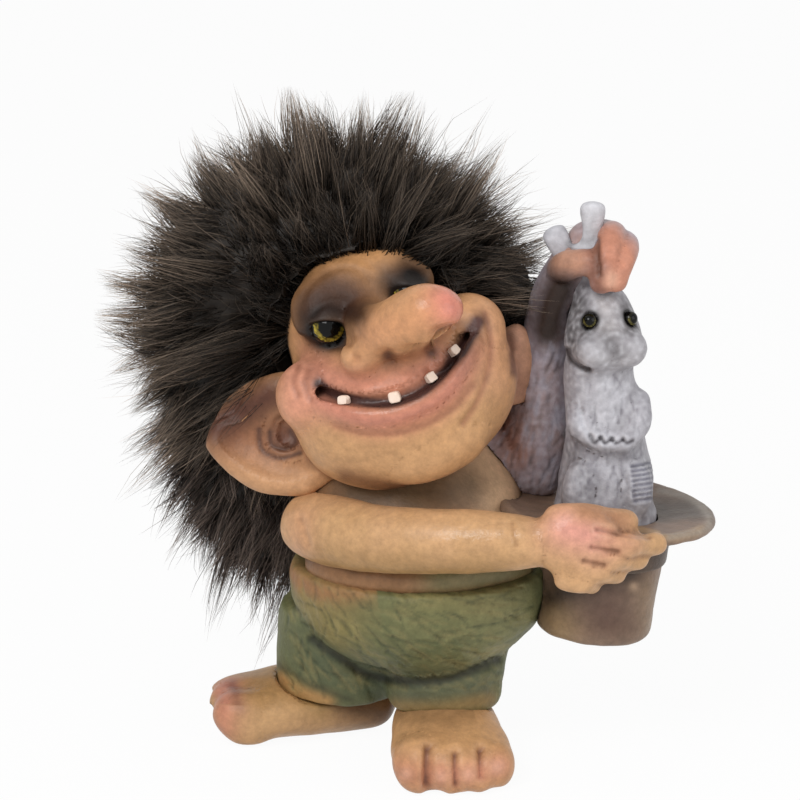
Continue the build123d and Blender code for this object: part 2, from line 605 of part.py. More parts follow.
hat_solid = whole(hat_at * hat() - trousers_whole - torso_solid)
nodes["hat"] = hat_solid
nodes["hat_band"] = whole(hat_at * hat_band() - trousers_whole - torso_solid)
rabbit_solid = rabbit_at * rabbit() + rabbit_head_at * rabbit_head() - hat_solid
rabbit_solid = whole(rabbit_solid + hat_at * rabbit_plug(SEAT_GAP))
for side in (-1, 1):
    rabbit_solid -= rabbit_head_at * ball(rabbit_eye_point(side), RABBIT_EYE_RADIUS + EYE_GAP)
nodes["rabbit"] = rabbit_solid
for name, side in (("rabbit_right_eye", -1), ("rabbit_left_eye", 1)):
    nodes[name] = rabbit_head_at * ball(rabbit_eye_point(side), RABBIT_EYE_RADIUS)

arm = right_arm()
for form in (torso_solid, hat_solid, nodes["hat_band"], trousers_whole, head_whole, nodes["right_ear"],
             rabbit_solid):
    arm -= form
nodes["right_arm"] = whole(arm)
arm = left_arm()
for form in (torso_solid, rabbit_solid, hat_solid, head_whole, nodes["left_ear"]):
    arm -= form
nodes["left_arm"] = whole(arm)

fur = wig()
back_fur = mane() - fur
for form in skull_forms():
    fur -= head_at * form
for form in (torso_solid, right_upper_arm(), nodes["right_ear"], nodes["left_ear"], nodes["left_arm"]):
    fur -= form
nodes["wig"] = whole(fur)
nodes["mane"] = whole(back_fur - torso_solid - trousers_whole)

boxes = [shape.bounding_box() for shape in nodes.values()]
middle_x = (min(box.min.X for box in boxes) + max(box.max.X for box in boxes)) / 2
middle_y = (min(box.min.Y for box in boxes) + max(box.max.Y for box in boxes)) / 2
stand = Pos(-middle_x, -middle_y, WAIST_HEIGHT)
os.makedirs("parts", exist_ok=True)
for name, shape in nodes.items():
    export_step(stand * shape, f"parts/{name}.step")
print(f"origin moved by {-middle_x:.4f}, {-middle_y:.4f}")
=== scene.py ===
# %% [markdown]
# # A folk troll with a rabbit and a top hat
# The figure is a set of hand-painted rubber castings with glass eyes and long-haired fur.
# The solids of the part give every piece its size and place. This lesson turns them into clay, presses
# wrinkles into the clay with strokes drawn over the photograph, paints it, and plants the fur.

# %% Load the frame
import math

import bmesh
import bpy
import numpy as np
from mathutils import Matrix, Vector, noise
from mathutils.bvhtree import BVHTree


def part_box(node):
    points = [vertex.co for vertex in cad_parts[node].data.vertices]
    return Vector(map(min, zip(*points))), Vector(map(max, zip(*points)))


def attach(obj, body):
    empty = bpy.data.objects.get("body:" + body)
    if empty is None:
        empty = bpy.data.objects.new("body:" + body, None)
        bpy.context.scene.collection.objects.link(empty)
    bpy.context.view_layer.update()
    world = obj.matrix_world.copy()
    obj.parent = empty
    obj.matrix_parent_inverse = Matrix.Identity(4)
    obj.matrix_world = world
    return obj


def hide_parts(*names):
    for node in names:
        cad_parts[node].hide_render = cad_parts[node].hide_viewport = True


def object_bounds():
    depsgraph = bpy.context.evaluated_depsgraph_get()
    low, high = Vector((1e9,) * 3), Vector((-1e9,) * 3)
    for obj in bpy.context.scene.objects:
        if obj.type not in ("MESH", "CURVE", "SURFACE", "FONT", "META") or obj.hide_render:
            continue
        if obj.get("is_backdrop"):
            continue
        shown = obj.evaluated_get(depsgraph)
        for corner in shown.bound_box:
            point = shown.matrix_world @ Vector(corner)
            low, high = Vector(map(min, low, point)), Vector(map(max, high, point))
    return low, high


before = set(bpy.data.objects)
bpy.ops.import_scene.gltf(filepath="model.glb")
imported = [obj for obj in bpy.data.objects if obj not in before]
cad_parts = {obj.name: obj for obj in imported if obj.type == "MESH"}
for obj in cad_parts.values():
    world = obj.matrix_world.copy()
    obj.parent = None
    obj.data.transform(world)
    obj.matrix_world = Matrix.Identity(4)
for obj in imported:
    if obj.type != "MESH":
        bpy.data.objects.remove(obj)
cad_low, cad_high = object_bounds()
MM = 0.001
rng = np.random.default_rng(7)
print("solids", len(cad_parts), "box mm", [round(v / MM, 1) for v in cad_high - cad_low])

# %% [markdown]
# ## The camera
# The photograph looks down on the figure a little, from some way off. The camera comes first, because the
# strokes below are drawn in the photograph's pixels and dropped onto the clay along the camera's rays.

# %% Camera
PHOTO_SIZE = 800
ELEVATION = math.radians(15)
STAND_OFF = 800 * MM
PIXEL = 0.28 * MM
SENSOR = 36.0
NEAR_CLIP = 10 * MM
AIM_FROM_TROUSERS = Vector((-3.503, 2.995, 66.8)) * MM

low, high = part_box("trousers")
aim = (low + high) / 2 + AIM_FROM_TROUSERS
look = Vector((0, math.cos(ELEVATION), -math.sin(ELEVATION)))
view_up = Vector((0, math.sin(ELEVATION), math.cos(ELEVATION)))
view_right = Vector((1, 0, 0))
eye = aim - look * STAND_OFF
bpy.ops.object.select_all(action="DESELECT")
bpy.ops.object.camera_add(location=eye)
camera = bpy.context.object
camera.rotation_mode = "QUATERNION"
camera.rotation_quaternion = look.to_track_quat("-Z", "Y")
camera.data.sensor_width = SENSOR
camera.data.lens = SENSOR * STAND_OFF / (PIXEL * PHOTO_SIZE)
camera.data.clip_start = NEAR_CLIP
bpy.context.scene.camera = camera
print("lens mm", round(camera.data.lens, 1))


def ray(pixel):
    """The direction in which the camera sees a pixel of the photograph."""
    right = (pixel[0] - PHOTO_SIZE / 2) * PIXEL
    up = (PHOTO_SIZE / 2 - pixel[1]) * PIXEL
    return (look * STAND_OFF + view_right * right + view_up * up).normalized()


def pixels_of(points):
    """The pixels at which the camera sees points."""
    from_eye = points - np.array(eye)
    depth = from_eye @ np.array(look)
    across = from_eye[:, 0] / depth * STAND_OFF / PIXEL
    up = from_eye @ np.array(view_up) / depth * STAND_OFF / PIXEL
    return np.stack([PHOTO_SIZE / 2 + across, PHOTO_SIZE / 2 - up], axis=1)


# %% [markdown]
# ## Light and floor
# A product photograph on white: one broad lamp above the viewer's left shoulder, a weaker one on the right
# and an even sky. The floor shows mostly as white to the camera and keeps a pale shadow.

# %% Light and floor
bpy.context.scene.view_settings.view_transform = "Standard"
SKY_LEVEL = 0.46
KEY_WATTS = 5.9
KEY_PLACE = (-0.35, -0.7, 0.75)
KEY_SIZE = 0.45
FILL_WATTS = 2.0
FILL_PLACE = (0.62, -0.5, 0.4)
FILL_SIZE = 0.6
FLOOR_SIZE = 6
FLOOR_GLOW = 0.95
WHITE = (1, 1, 1, 1)
PAPER_WHITE = (0.9, 0.9, 0.9, 1)


def lamp(name, place, watts, size):
    """A square lamp at a place, turned to the figure."""
    bpy.ops.object.light_add(type="AREA", location=place)
    light = bpy.context.object
    light.name = name
    light.data.energy = watts
    light.data.size = size
    light.rotation_mode = "QUATERNION"
    light.rotation_quaternion = (aim - Vector(place)).to_track_quat("-Z", "Y")


def fill(tree, node, *first, **named):
    """Fills a node's inputs, the first in order and others by name, with values or other nodes' outputs."""
    filled = list(zip(node.inputs, first))
    filled += [(node.inputs[name.replace("_", " ")], value) for name, value in named.items()]
    for socket, value in filled:
        if isinstance(value, bpy.types.NodeSocket):
            tree.links.new(value, socket)
        else:
            socket.default_value = value


def shader_node(tree, kind, *first, **named):
    """A new shader node with its inputs filled."""
    node = tree.nodes.new(f"ShaderNode{kind}")
    fill(tree, node, *first, **named)
    return node


def sees_background(tree):
    """A value that is 1 for rays that should find a white background."""
    path = shader_node(tree, "LightPath")
    total = path.outputs["Is Camera Ray"]
    for name in ("Is Glossy Ray", "Is Transmission Ray"):
        larger = shader_node(tree, "Math", total, path.outputs[name])
        larger.operation = "MAXIMUM"
        total = larger.outputs[0]
    return total


lamp("key_lamp", KEY_PLACE, KEY_WATTS, KEY_SIZE)
lamp("fill_lamp", FILL_PLACE, FILL_WATTS, FILL_SIZE)

world = bpy.data.worlds.new("studio")
bpy.context.scene.world = world
world.use_nodes = True
sky = world.node_tree
sky.nodes.clear()
lit = shader_node(sky, "Background", Color=WHITE, Strength=SKY_LEVEL)
white = shader_node(sky, "Background", Color=WHITE, Strength=1.0)
choose = shader_node(sky, "MixShader", sees_background(sky), lit.outputs[0], white.outputs[0])
shader_node(sky, "OutputWorld", choose.outputs[0])

bpy.ops.mesh.primitive_plane_add(size=FLOOR_SIZE)
floor = bpy.context.object
floor.name = "floor"
floor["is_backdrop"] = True
paper = bpy.data.materials.new("white_paper")
paper.use_nodes = True
tree = paper.node_tree
tree.nodes.clear()
matte = shader_node(tree, "BsdfDiffuse", Color=PAPER_WHITE)
glow = shader_node(tree, "Emission", Color=WHITE)
share = shader_node(tree, "Math", sees_background(tree), FLOOR_GLOW)
share.operation = "MULTIPLY"
mix = shader_node(tree, "MixShader", share.outputs[0], matte.outputs[0], glow.outputs[0])
shader_node(tree, "OutputMaterial", mix.outputs[0])
floor.data.materials.append(paper)
print("lamps", KEY_WATTS, FILL_WATTS)

# %% [markdown]
# ## Clay
# A sculptor models such a figure in clay before it is cast. Each solid, or a few that grow together, is
# copied, remeshed to an even skin and smoothed, so that the joints melt as they do under a thumb. A stroke
# is a line drawn over the photograph: it is dropped onto the skin, and the skin near it is pressed in,
# raised or painted.

# %% Clay and its tools
STROKE_STEP = 1.2
LEVEL_WINDOW = 9
STROKE_DEPTH = 3.0
STROKE_REACH = 2.5
GRAZING = 0.2
WRINKLE_PRESS = 1.35
BANK_WIDTH = 2.2
BANK_HEIGHT = 0.35
MOTTLE_STEPS = (7.3, 3.1, 5.7)
BASE_GLOSS = 0.4


def smooth_line(pixels):
    """A soft line through a few pixels, as points about a pixel apart."""
    knots = np.array([pixels[0], *pixels, pixels[-1]], float)
    made = []
    for a, b, c, d in zip(knots, knots[1:], knots[2:], knots[3:]):
        steps = max(2, int(np.linalg.norm(c - b) / STROKE_STEP))
        for t in np.linspace(0, 1, steps, endpoint=False):
            made.append(0.5 * (2 * b + (c - a) * t + (2 * a - 5 * b + 4 * c - d) * t ** 2
                               + (3 * b - a - 3 * c + d) * t ** 3))
    made.append(knots[-1])
    return made


def linear(red, green, blue):
    """A colour given as 0 to 255 on screen, as the renderer's linear light."""
    screen = np.array((red, green, blue)) / 255
    return np.where(screen <= 0.04045, screen / 12.92, ((screen + 0.055) / 1.055) ** 2.4)


def taken(source, name, width, kind=np.float32):
    """Values taken from a mesh, in rows of a width."""
    values = np.empty(len(source) * width, kind)
    source.foreach_get(name, values)
    rows = values.reshape(-1, width)
    return rows.astype(float) if kind is np.float32 else rows


def new_piece(name, mesh):
    """A mesh as a piece of the scene."""
    piece = bpy.data.objects.new(name, mesh)
    bpy.context.scene.collection.objects.link(piece)
    return piece


def ball(segments, rings, radius, place, radii=(1, 1, 1)):
    """A ball at a place, stretched by radii."""
    bpy.ops.object.select_all(action="DESELECT")
    bpy.ops.mesh.primitive_uv_sphere_add(segments=segments, ring_count=rings, radius=radius, location=place)
    form = bpy.context.object
    form.scale = radii
    bpy.ops.object.transform_apply(location=True, rotation=True, scale=True)
    return form


def store_paint(mesh, paint):
    """Stores a colour on every point of a mesh."""
    rgba = np.ones((len(paint), 4), np.float32)
    rgba[:, :3] = paint
    mesh.attributes.new("paint", "FLOAT_COLOR", "POINT").data.foreach_set("color", rgba.ravel())


def set_in_place(piece, nodes):
    """Sets a piece on the figure in the place of its solids."""
    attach(piece, "root")
    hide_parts(*nodes)


def spot_in(field):
    """A random pixel of a field, which is given as left, right, top and bottom."""
    left, right, top, bottom = field
    return np.array((rng.uniform(left, right), rng.uniform(top, bottom)))


class Clay:
    """A piece of clay: its skin, and the paint and gloss on every point of it."""

    def __init__(self, name, nodes, voxel, melt, colour, extras=(), close=0.55):
        bpy.ops.object.select_all(action="DESELECT")
        self.nodes = nodes
        for node in nodes:
            copy = new_piece(name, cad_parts[node].data.copy())
            copy.select_set(True)
            bpy.context.view_layer.objects.active = copy
        for extra in extras:
            extra.select_set(True)
        if len(nodes) + len(extras) > 1:
            bpy.ops.object.join()
        self.piece = bpy.context.view_layer.objects.active
        self.piece.name = name
        self.piece.data.materials.clear()
        bpy.ops.object.mode_set(mode="EDIT")
        bpy.ops.mesh.select_all(action="SELECT")
        bpy.ops.mesh.remove_doubles(threshold=1e-6)
        bpy.ops.object.mode_set(mode="OBJECT")
        self.piece.data.remesh_voxel_size = voxel * MM
        bpy.ops.object.voxel_remesh()
        self.swell(close)
        bpy.ops.object.voxel_remesh()
        self.swell(-close)
        self.mesh = self.piece.data
        soften = self.piece.modifiers.new("melt", "SMOOTH")
        soften.factor = 0.5
        soften.iterations = melt
        bpy.ops.object.modifier_apply(modifier="melt")
        bpy.ops.object.shade_smooth()
        self.read()
        count = len(self.points)
        self.paint = np.tile(linear(*colour), (count, 1))
        self.gloss = np.full(count, BASE_GLOSS)

    def swell(self, height):
        """Moves the whole skin by millimetres. Out, a remesh and in again closes narrow crevices."""
        swell = self.piece.modifiers.new("swell", "DISPLACE")
        swell.strength = height * MM
        swell.mid_level = 0
        bpy.ops.object.modifier_apply(modifier="swell")

    def read(self):
        """Takes the points, normals and edges from the mesh."""
        self.points = taken(self.mesh.vertices, "co", 3)
        self.normals = taken(self.mesh.vertex_normals, "vector", 3)
        self.edges = taken(self.mesh.edges, "vertices", 2, np.int32)
        self.tree = BVHTree.FromObject(self.piece, bpy.context.evaluated_depsgraph_get())
        self.pixels = pixels_of(self.points)
        self.depth = (self.points - np.array(eye)) @ np.array(look)

    def settle(self):
        """Writes the moved points to the mesh and reads the new normals."""
        self.mesh.vertices.foreach_set("co", self.points.astype(np.float32).ravel())
        self.mesh.update()
        bpy.context.view_layer.update()
        self.read()

    def drawn(self, pixels):
        """The pixels of a line drawn over the photograph, where they meet the skin, and how deep they lie."""
        line = smooth_line(pixels) if len(pixels) > 1 else pixels
        hits = [(pixel, self.tree.ray_cast(eye, ray(pixel))[0]) for pixel in line]
        hits = [(pixel, (hit - eye).dot(look)) for pixel, hit in hits if hit is not None]
        if not hits:
            return np.empty((0, 2)), np.empty(0)
        depth = np.pad([row[1] for row in hits], LEVEL_WINDOW // 2, mode="edge")
        level = [np.median(depth[i:i + LEVEL_WINDOW]) for i in range(len(hits))]
        return np.array([row[0] for row in hits], float), np.array(level)

    def seen(self, pixels):
        """A line drawn over the photograph, dropped onto the skin."""
        line, depth = self.drawn(pixels)
        rays = [ray(pixel) for pixel in line]
        return np.array([eye + way * (d / way.dot(look)) for way, d in zip(rays, depth)]).reshape(-1, 3)

    def near(self, line, width):
        """1 on a line of points, falling to 0 over a width in millimetres."""
        mask = np.zeros(len(self.points))
        if len(line) == 0:
            return mask
        reach = 3 * width * MM
        inside = np.all((self.points > line.min(0) - reach) & (self.points < line.max(0) + reach), axis=1)
        which = np.nonzero(inside)[0]
        gap = np.full(len(which), 1.0)
        for point in line:
            gap = np.minimum(gap, np.linalg.norm(self.points[which] - point, axis=1))
        mask[which] = np.exp(-(gap / (width * MM)) ** 2)
        return mask

    def stroke(self, pixels, width):
        """The mask of a stroke drawn over the photograph, which falls to 0 over a width in millimetres."""
        mask = np.zeros(len(self.points))
        line, depth = self.drawn(pixels)
        if len(line) == 0:
            return mask
        reach = STROKE_REACH * width * MM / PIXEL
        inside = np.all((self.pixels > line.min(0) - reach) & (self.pixels < line.max(0) + reach), axis=1)
        which = np.nonzero(inside & (self.normals @ np.array(look) < GRAZING))[0]
        gap = np.full(len(which), 1e3)
        behind = np.zeros(len(which))
        for pixel, deep in zip(line, depth):
            away = np.hypot(*(self.pixels[which] - pixel).T)
            behind = np.where(away < gap, self.depth[which] - deep, behind)
            gap = np.minimum(gap, away)
        gate = np.exp(-(behind / ((width + STROKE_DEPTH) * MM)) ** 4)
        mask[which] = np.exp(-(gap * PIXEL / (width * MM)) ** 2) * gate
        return mask

    def touches(self, node, gap):
        """1 where the skin lies on a solid of the part, falling to 0 over a gap in millimetres."""
        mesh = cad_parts[node].data
        solid = BVHTree.FromPolygons([v.co for v in mesh.vertices], [p.vertices for p in mesh.polygons])
        reach = 3 * gap * MM
        away = [solid.find_nearest(Vector(point), reach)[3] for point in self.points]
        away = np.array([reach if d is None else d for d in away])
        return np.exp(-(away / (gap * MM)) ** 2)

    def push(self, mask, height):
        """Moves the skin along its normals by a mask, in millimetres."""
        self.points += self.normals * (mask * height * MM)[:, None]

    def ruffle(self, size, seed, height):
        """Raises and sinks soft patches of a size by up to half a height, all in millimetres."""
        self.push(self.mottle(size, seed) - 0.5, height)

    def drag(self, mask, move):
        """Pulls the skin along a direction by a mask, in millimetres."""
        self.points += mask[:, None] * np.array(move) * MM
        self.settle()

    def press(self, width, height, *lines):
        """Raises the skin along lines by millimetres, or presses it in where the height is negative."""
        for pixels in lines:
            self.push(self.stroke(pixels, width), height)

    def wrinkle(self, width, depth, *lines):
        """Pressed lines with slightly raised banks, as a tool leaves them in clay."""
        for pixels in lines:
            self.press(width, -WRINKLE_PRESS * depth, pixels)
            self.press(BANK_WIDTH * width, BANK_HEIGHT * depth, pixels)

    def colour(self, mask, colour, strength):
        """Paint over a mask."""
        cover = np.clip(mask * strength, 0, 1)[:, None]
        self.paint = self.paint * (1 - cover) + linear(*colour) * cover

    def blotch(self, size, seed, colour, strength, power=1):
        """Paints soft patches of a size in millimetres. A power above 1 makes them smaller."""
        self.colour(self.mottle(size, seed) ** power, colour, strength)

    def daub(self, width, colour, strength, *lines):
        """Paints along lines drawn over the photograph."""
        for pixels in lines:
            self.colour(self.stroke(pixels, width), colour, strength)

    def brush(self, plan):
        """Paints named strokes: each has a colour, a width in millimetres, a strength and a line."""
        for colour, width, strength, pixels in plan.values():
            self.daub(width, colour, strength, pixels)

    def scratch(self, pixels, width, depth, light, light_share, dark, strength):
        """One scratch of a comb, which the dry brush leaves light or dark by chance."""
        mask = self.stroke(pixels, width)
        self.push(mask, -depth)
        self.colour(mask, light if rng.random() < light_share else dark, strength)

    def shine(self, width, gloss, *lines):
        """Gloss along lines drawn over the photograph."""
        for pixels in lines:
            cover = self.stroke(pixels, width)
            self.gloss = self.gloss * (1 - cover) + gloss * cover

    def softened(self, rounds):
        """The points of the skin after rounds of averaging with their neighbours."""
        first, second = self.edges[:, 0], self.edges[:, 1]
        size = len(self.points)
        count = np.bincount(self.edges.ravel(), minlength=size) + 1e-9
        axes = []
        for values in self.points.T:
            for _ in range(rounds):
                total = np.bincount(first, values[second], size) + np.bincount(second, values[first], size)
                values = 0.4 * values + 0.6 * total / count
            axes.append(values)
        return np.stack(axes, axis=1)

    def melt(self, rounds, keep=0.0):
        """Smooths the skin, except where a mask keeps it."""
        held = np.broadcast_to(keep, len(self.points))[:, None]
        self.points = self.points * held + self.softened(rounds) * (1 - held)
        self.settle()

    def wash_and_painted_shade(self, rounds, depth, dark, light, strength):
        """A dark wash in hollows of a depth in millimetres, which also paints the shade that falls there, and
        a light brush over the crests, which also paints a highlight on them.
        """
        bend = np.sum((self.softened(rounds) - self.points) * self.normals, axis=1) / (depth * MM)
        self.colour(np.clip(bend, 0, 1), dark, strength)
        self.colour(np.clip(-bend, 0, 1), light, 0.5 * strength)

    def mottle(self, size, seed):
        """Soft patches between 0 and 1, of about a size in millimetres."""
        shift = Vector([seed * step for step in MOTTLE_STEPS])
        scale = 1 / (size * MM)
        return np.array([0.5 + 0.5 * noise.noise(Vector(p) * scale + shift) for p in self.points])

    def done(self, material, slot):
        """Stores the paint, and sets the piece in the place of its solids."""
        self.settle()
        store_paint(self.mesh, np.clip(self.paint, 0, 1))
        gloss = self.gloss.astype(np.float32)
        self.mesh.attributes.new("gloss", "FLOAT", "POINT").data.foreach_set("value", gloss)
        self.mesh.materials.append(material)
        set_in_place(self.piece, self.nodes)
        print(self.piece.name, "faces", len(self.mesh.polygons))


# %% [markdown]
# ## Painted rubber
# The castings are dipped and dry-brushed by hand. The brushed colours are stored on the points of each piece,
# and the material adds what is finer than the points: pores, a mottled film and an uneven sheen.

# %% Painted rubber
RUBBER_SPECULAR = 0.24
FILM_PATCH = 2.6
FILM_RANGE = (0.32, 0.68)
COMB_SCALE = 0.05 / MM


def stored(tree, name):
    """A node that reads what is stored on the points of a piece."""
    node = shader_node(tree, "Attribute")
    node.attribute_name = name
    return node


def start_material(name):
    """A new material, its node tree, its shader and the paint stored on a piece."""
    material = bpy.data.materials.new(name)
    material.use_nodes = True
    tree = material.node_tree
    return material, tree, tree.nodes["Principled BSDF"], stored(tree, "paint").outputs["Color"]


def even_finish(name, **finish):
    """A material that shows a piece's own paint under an even finish."""
    material, tree, shader, paint = start_material(name)
    fill(tree, shader, Base_Color=paint, **finish)
    return material


def painted_rubber(name, grain_mm, grain_depth, film, dull, bright, hatch=0.0):
    """A material that shows a piece's own paint, with a grain, a mottled film and brushed hatching."""
    material, tree, shader, paint = start_material(name)
    place = shader_node(tree, "TexCoord").outputs["Object"]
    patches = shader_node(tree, "TexNoise", Vector=place, Scale=1 / (FILM_PATCH * MM), Detail=8,
                          Roughness=0.7)
    strength = shader_node(tree, "MapRange", Value=patches.outputs["Fac"], From_Min=FILM_RANGE[0],
                           From_Max=FILM_RANGE[1], To_Min=1 - film, To_Max=1 + 0.7 * film)
    tint = shader_node(tree, "VectorMath", paint)
    tint.operation = "SCALE"
    fill(tree, tint, Scale=strength.outputs[0])
    gloss = stored(tree, "gloss").outputs["Fac"]
    rough = shader_node(tree, "MapRange", Value=gloss, To_Min=dull, To_Max=bright)
    grain = shader_node(tree, "TexNoise", Vector=place, Scale=1 / (grain_mm * MM), Detail=5)
    bump = shader_node(tree, "Bump", Strength=0.7, Distance=grain_depth * MM, Height=grain.outputs["Fac"])
    if hatch:
        comb = shader_node(tree, "TexWave", Vector=place, Scale=COMB_SCALE, Distortion=9, Detail=3,
                           Detail_Scale=1.4)
        comb.wave_type = "BANDS"
        comb.bands_direction = "DIAGONAL"
        bump = shader_node(tree, "Bump", Strength=0.6, Distance=hatch * MM, Height=comb.outputs["Fac"],
                           Normal=bump.outputs[0])
    fill(tree, shader, Base_Color=tint.outputs[0], Roughness=rough.outputs[0], Normal=bump.outputs[0],
         Specular_IOR_Level=RUBBER_SPECULAR)
    return material


skin_paint = painted_rubber("painted_skin", 0.8, 0.18, 0.2, 0.58, 0.16)
cloth_paint = painted_rubber("painted_trousers", 0.9, 0.25, 0.2, 0.7, 0.35, hatch=0.3)
rabbit_paint = painted_rubber("painted_rabbit", 0.6, 0.2, 0.16, 0.6, 0.3, hatch=0.15)
felt_paint = painted_rubber("painted_hat", 1.2, 0.25, 0.2, 0.55, 0.25)

# %% [markdown]
# ## Head
# The head and its ears are one casting. Heavy lids hang over the eyes: two caps, cut from balls a little
# larger than the eyes, are worked into the clay with the dome of the forehead and the shell of the far ear.
# Smoothing then runs the cheeks, the nose and the chin together, while the mouth and the ears keep their
# edges. The creases of the grin are drawn last.

# %% Lids, forehead and far ear
LID_THICKNESS = 1.5
LID_DROOP = -0.06
LID_TILT = 0.25
FOREHEAD_PIXEL = (354, 303)
FOREHEAD_RADII = (15.0, 12.0, 15.5)
FOREHEAD_BEHIND_EYES = 9.0
FAR_EAR_PIXEL = (516, 358)
FAR_EAR_RADII = (5.6, 4.5, 10.5)
FAR_EAR_FORWARD = 8.0


def lid(node):
    """A cap over the upper part of an eye, as a closed mesh."""
    low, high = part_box(node)
    middle = (low + high) / 2
    radius = (high.x - low.x) / 2 + LID_THICKNESS * MM
    form = bmesh.new()
    bmesh.ops.create_uvsphere(form, u_segments=40, v_segments=24, radius=radius,
                              matrix=Matrix.Translation(middle))
    down = (-view_up - LID_TILT * look).normalized()
    cut = bmesh.ops.bisect_plane(form, geom=form.verts[:] + form.edges[:] + form.faces[:],
                                 plane_co=middle - down * radius * LID_DROOP, plane_no=down, clear_outer=True)
    rim = [item for item in cut["geom_cut"] if isinstance(item, bmesh.types.BMEdge)]
    bmesh.ops.edgeloop_fill(form, edges=rim)
    bmesh.ops.recalc_face_normals(form, faces=form.faces[:])
    mesh = bpy.data.meshes.new(f"lid_of_{node}")
    form.to_mesh(mesh)
    form.free()
    return new_piece(mesh.name, mesh)


def depth_of(*nodes):
    """How far along the camera's view the middles of solids lie, on average."""
    middles = [sum(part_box(node), Vector()) / 2 for node in nodes]
    return sum((middle - eye).dot(look) for middle in middles) / len(nodes)


def egg(pixel, depth, radii):
    """An egg of clay at a pixel and a depth, with radii in millimetres."""
    direction = ray(pixel)
    return ball(48, 24, MM, eye + direction * depth / direction.dot(look), radii)


lids = [lid("right_eye"), lid("left_eye")]
brow_depth = depth_of("right_eye", "left_eye") + FOREHEAD_BEHIND_EYES * MM
dome = egg(FOREHEAD_PIXEL, brow_depth, FOREHEAD_RADII)
shell = egg(FAR_EAR_PIXEL, depth_of("left_ear") - FAR_EAR_FORWARD * MM, FAR_EAR_RADII)
print("lids", len(lids), "forehead mm", [round(v / MM, 1) for v in dome.dimensions])

# %% Head
MOUTH = [(319, 384), (333, 393), (350, 399), (385, 404), (409, 398), (425, 390), (445, 372), (462, 352),
         (478, 322)]
MOUTH_CORNER = [(455, 358), (466, 342), (477, 322)]
MOUTH_DEPTH = 3.5
LOWER_LIP = [(322, 398), (350, 412), (385, 416), (413, 410), (440, 395), (462, 370), (482, 338)]
UPPER_LIP = [(323, 376), (348, 389), (385, 394), (415, 382), (440, 360), (462, 334)]
LIP_FOLD = [(335, 426), (369, 434), (409, 431), (450, 411), (473, 386)]
CHEEK_FOLDS = [[(299, 366), (294, 380), (298, 396)], [(309, 370), (305, 384), (311, 400)],
               [(485, 314), (491, 342), (488, 372), (477, 402), (463, 424)]]
LID_RIM = [(301, 322), (300, 303), (311, 284), (331, 270), (354, 268), (370, 280)]
LID_EDGE = [(318, 322), (336, 314), (356, 322)]
LID_FOLD = [(312, 316), (324, 303), (340, 300), (356, 306), (364, 318)]
LOWER_LID = [(303, 338), (320, 346), (341, 346), (360, 336)]
FAR_LID_RIM = [(390, 270), (404, 262), (420, 268)]
FAR_LID_EDGE = [(412, 288)]
BROW_LINE = [(317, 262), (341, 256), (365, 262), (380, 272)]
NOSTRILS = [[(388, 356)], [(432, 353)]]
WING_FOLD = [(350, 336), (349, 348), (357, 358)]
WING_PIT = [(356, 362)]
EAR_RINGS = [[(270, 432), (272, 445), (285, 449), (295, 442), (290, 431)],
             [(259, 430), (262, 449), (280, 458), (300, 453)]]
EAR_HOLLOW = [(283, 439)]
EAR_DISH = [(238, 436), (262, 440), (280, 440)]
EAR_RIM = [(207, 446), (226, 465), (262, 481), (305, 488)]
JAW = [(346, 477), (364, 482), (392, 486), (430, 483), (460, 472), (484, 452)]
PULLS = {
    "under_nose": ([(422, 350), (438, 340)], 5.0, (0.5, 0.5, 3.4)),
    "nose_tip": ([(446, 302)], 7.5, (2.8, 0, -0.3)),
    "ear_edge": ([(222, 438)], 5.5, (-2.6, 0, -1.0)),
    "ear_top": ([(234, 398)], 6.0, (1.5, 0, -4.0)),
    "lip_corner": ([(442, 360), (454, 344), (464, 326)], 3.0, (1.2, 0, -1.8)),
    "far_brow": ([(414, 254)], 5.0, (-0.6, 1.0, -2.6)),
}

head = Clay("head_casting", ["head", "right_ear", "left_ear"], voxel=0.58, melt=5, colour=(190, 140, 95),
            extras=[*lids, dome, shell])
teeth_line = head.seen(MOUTH)
mouth_floor = teeth_line + np.array(look) * MOUTH_DEPTH * MM
kept_mouth = np.clip(1.4 * head.near(teeth_line, 3.0), 0, 1)
kept_ears = np.clip(1.3 * head.touches("right_ear", 2.5) + 1.3 * head.touches("left_ear", 2.5), 0, 1)
kept_ears *= 1 - head.stroke(EAR_HOLLOW, 8.0)
kept_lids = head.near(np.concatenate([head.seen(LID_EDGE), head.seen(FAR_LID_EDGE)]), 5.0)
head.melt(60, np.clip(kept_mouth + 0.7 * kept_ears + 1.2 * kept_lids, 0, 1))
for pixels, width, move in PULLS.values():
    head.drag(head.stroke(pixels, width), move)
head.press(3.0, -1.0, WING_PIT)
head.press(7.0, -2.6, EAR_DISH)
head.press(2.4, 0.9, EAR_RIM)
head.press(2.4, 0.5, LOWER_LIP)
head.press(2.2, 0.4, UPPER_LIP)
head.settle()
head.wrinkle(1.1, 0.6, *CHEEK_FOLDS)
head.wrinkle(1.5, 0.5, LIP_FOLD)
head.wrinkle(1.1, 0.35, LID_RIM)
head.wrinkle(1.0, 0.3, LID_FOLD)
head.wrinkle(1.1, 0.5, LOWER_LID)
head.wrinkle(1.0, 0.3, FAR_LID_RIM)
head.wrinkle(1.4, 0.7, WING_FOLD)
head.wrinkle(1.1, 0.25, BROW_LINE)
head.wrinkle(0.8, 0.5, *EAR_RINGS)
head.press(2.2, -1.8, *NOSTRILS)
head.ruffle(9, 1, 0.5)
head.ruffle(3, 2, 0.14)
head.melt(2)
head.melt(7, 1 - head.near(teeth_line, 4.0))
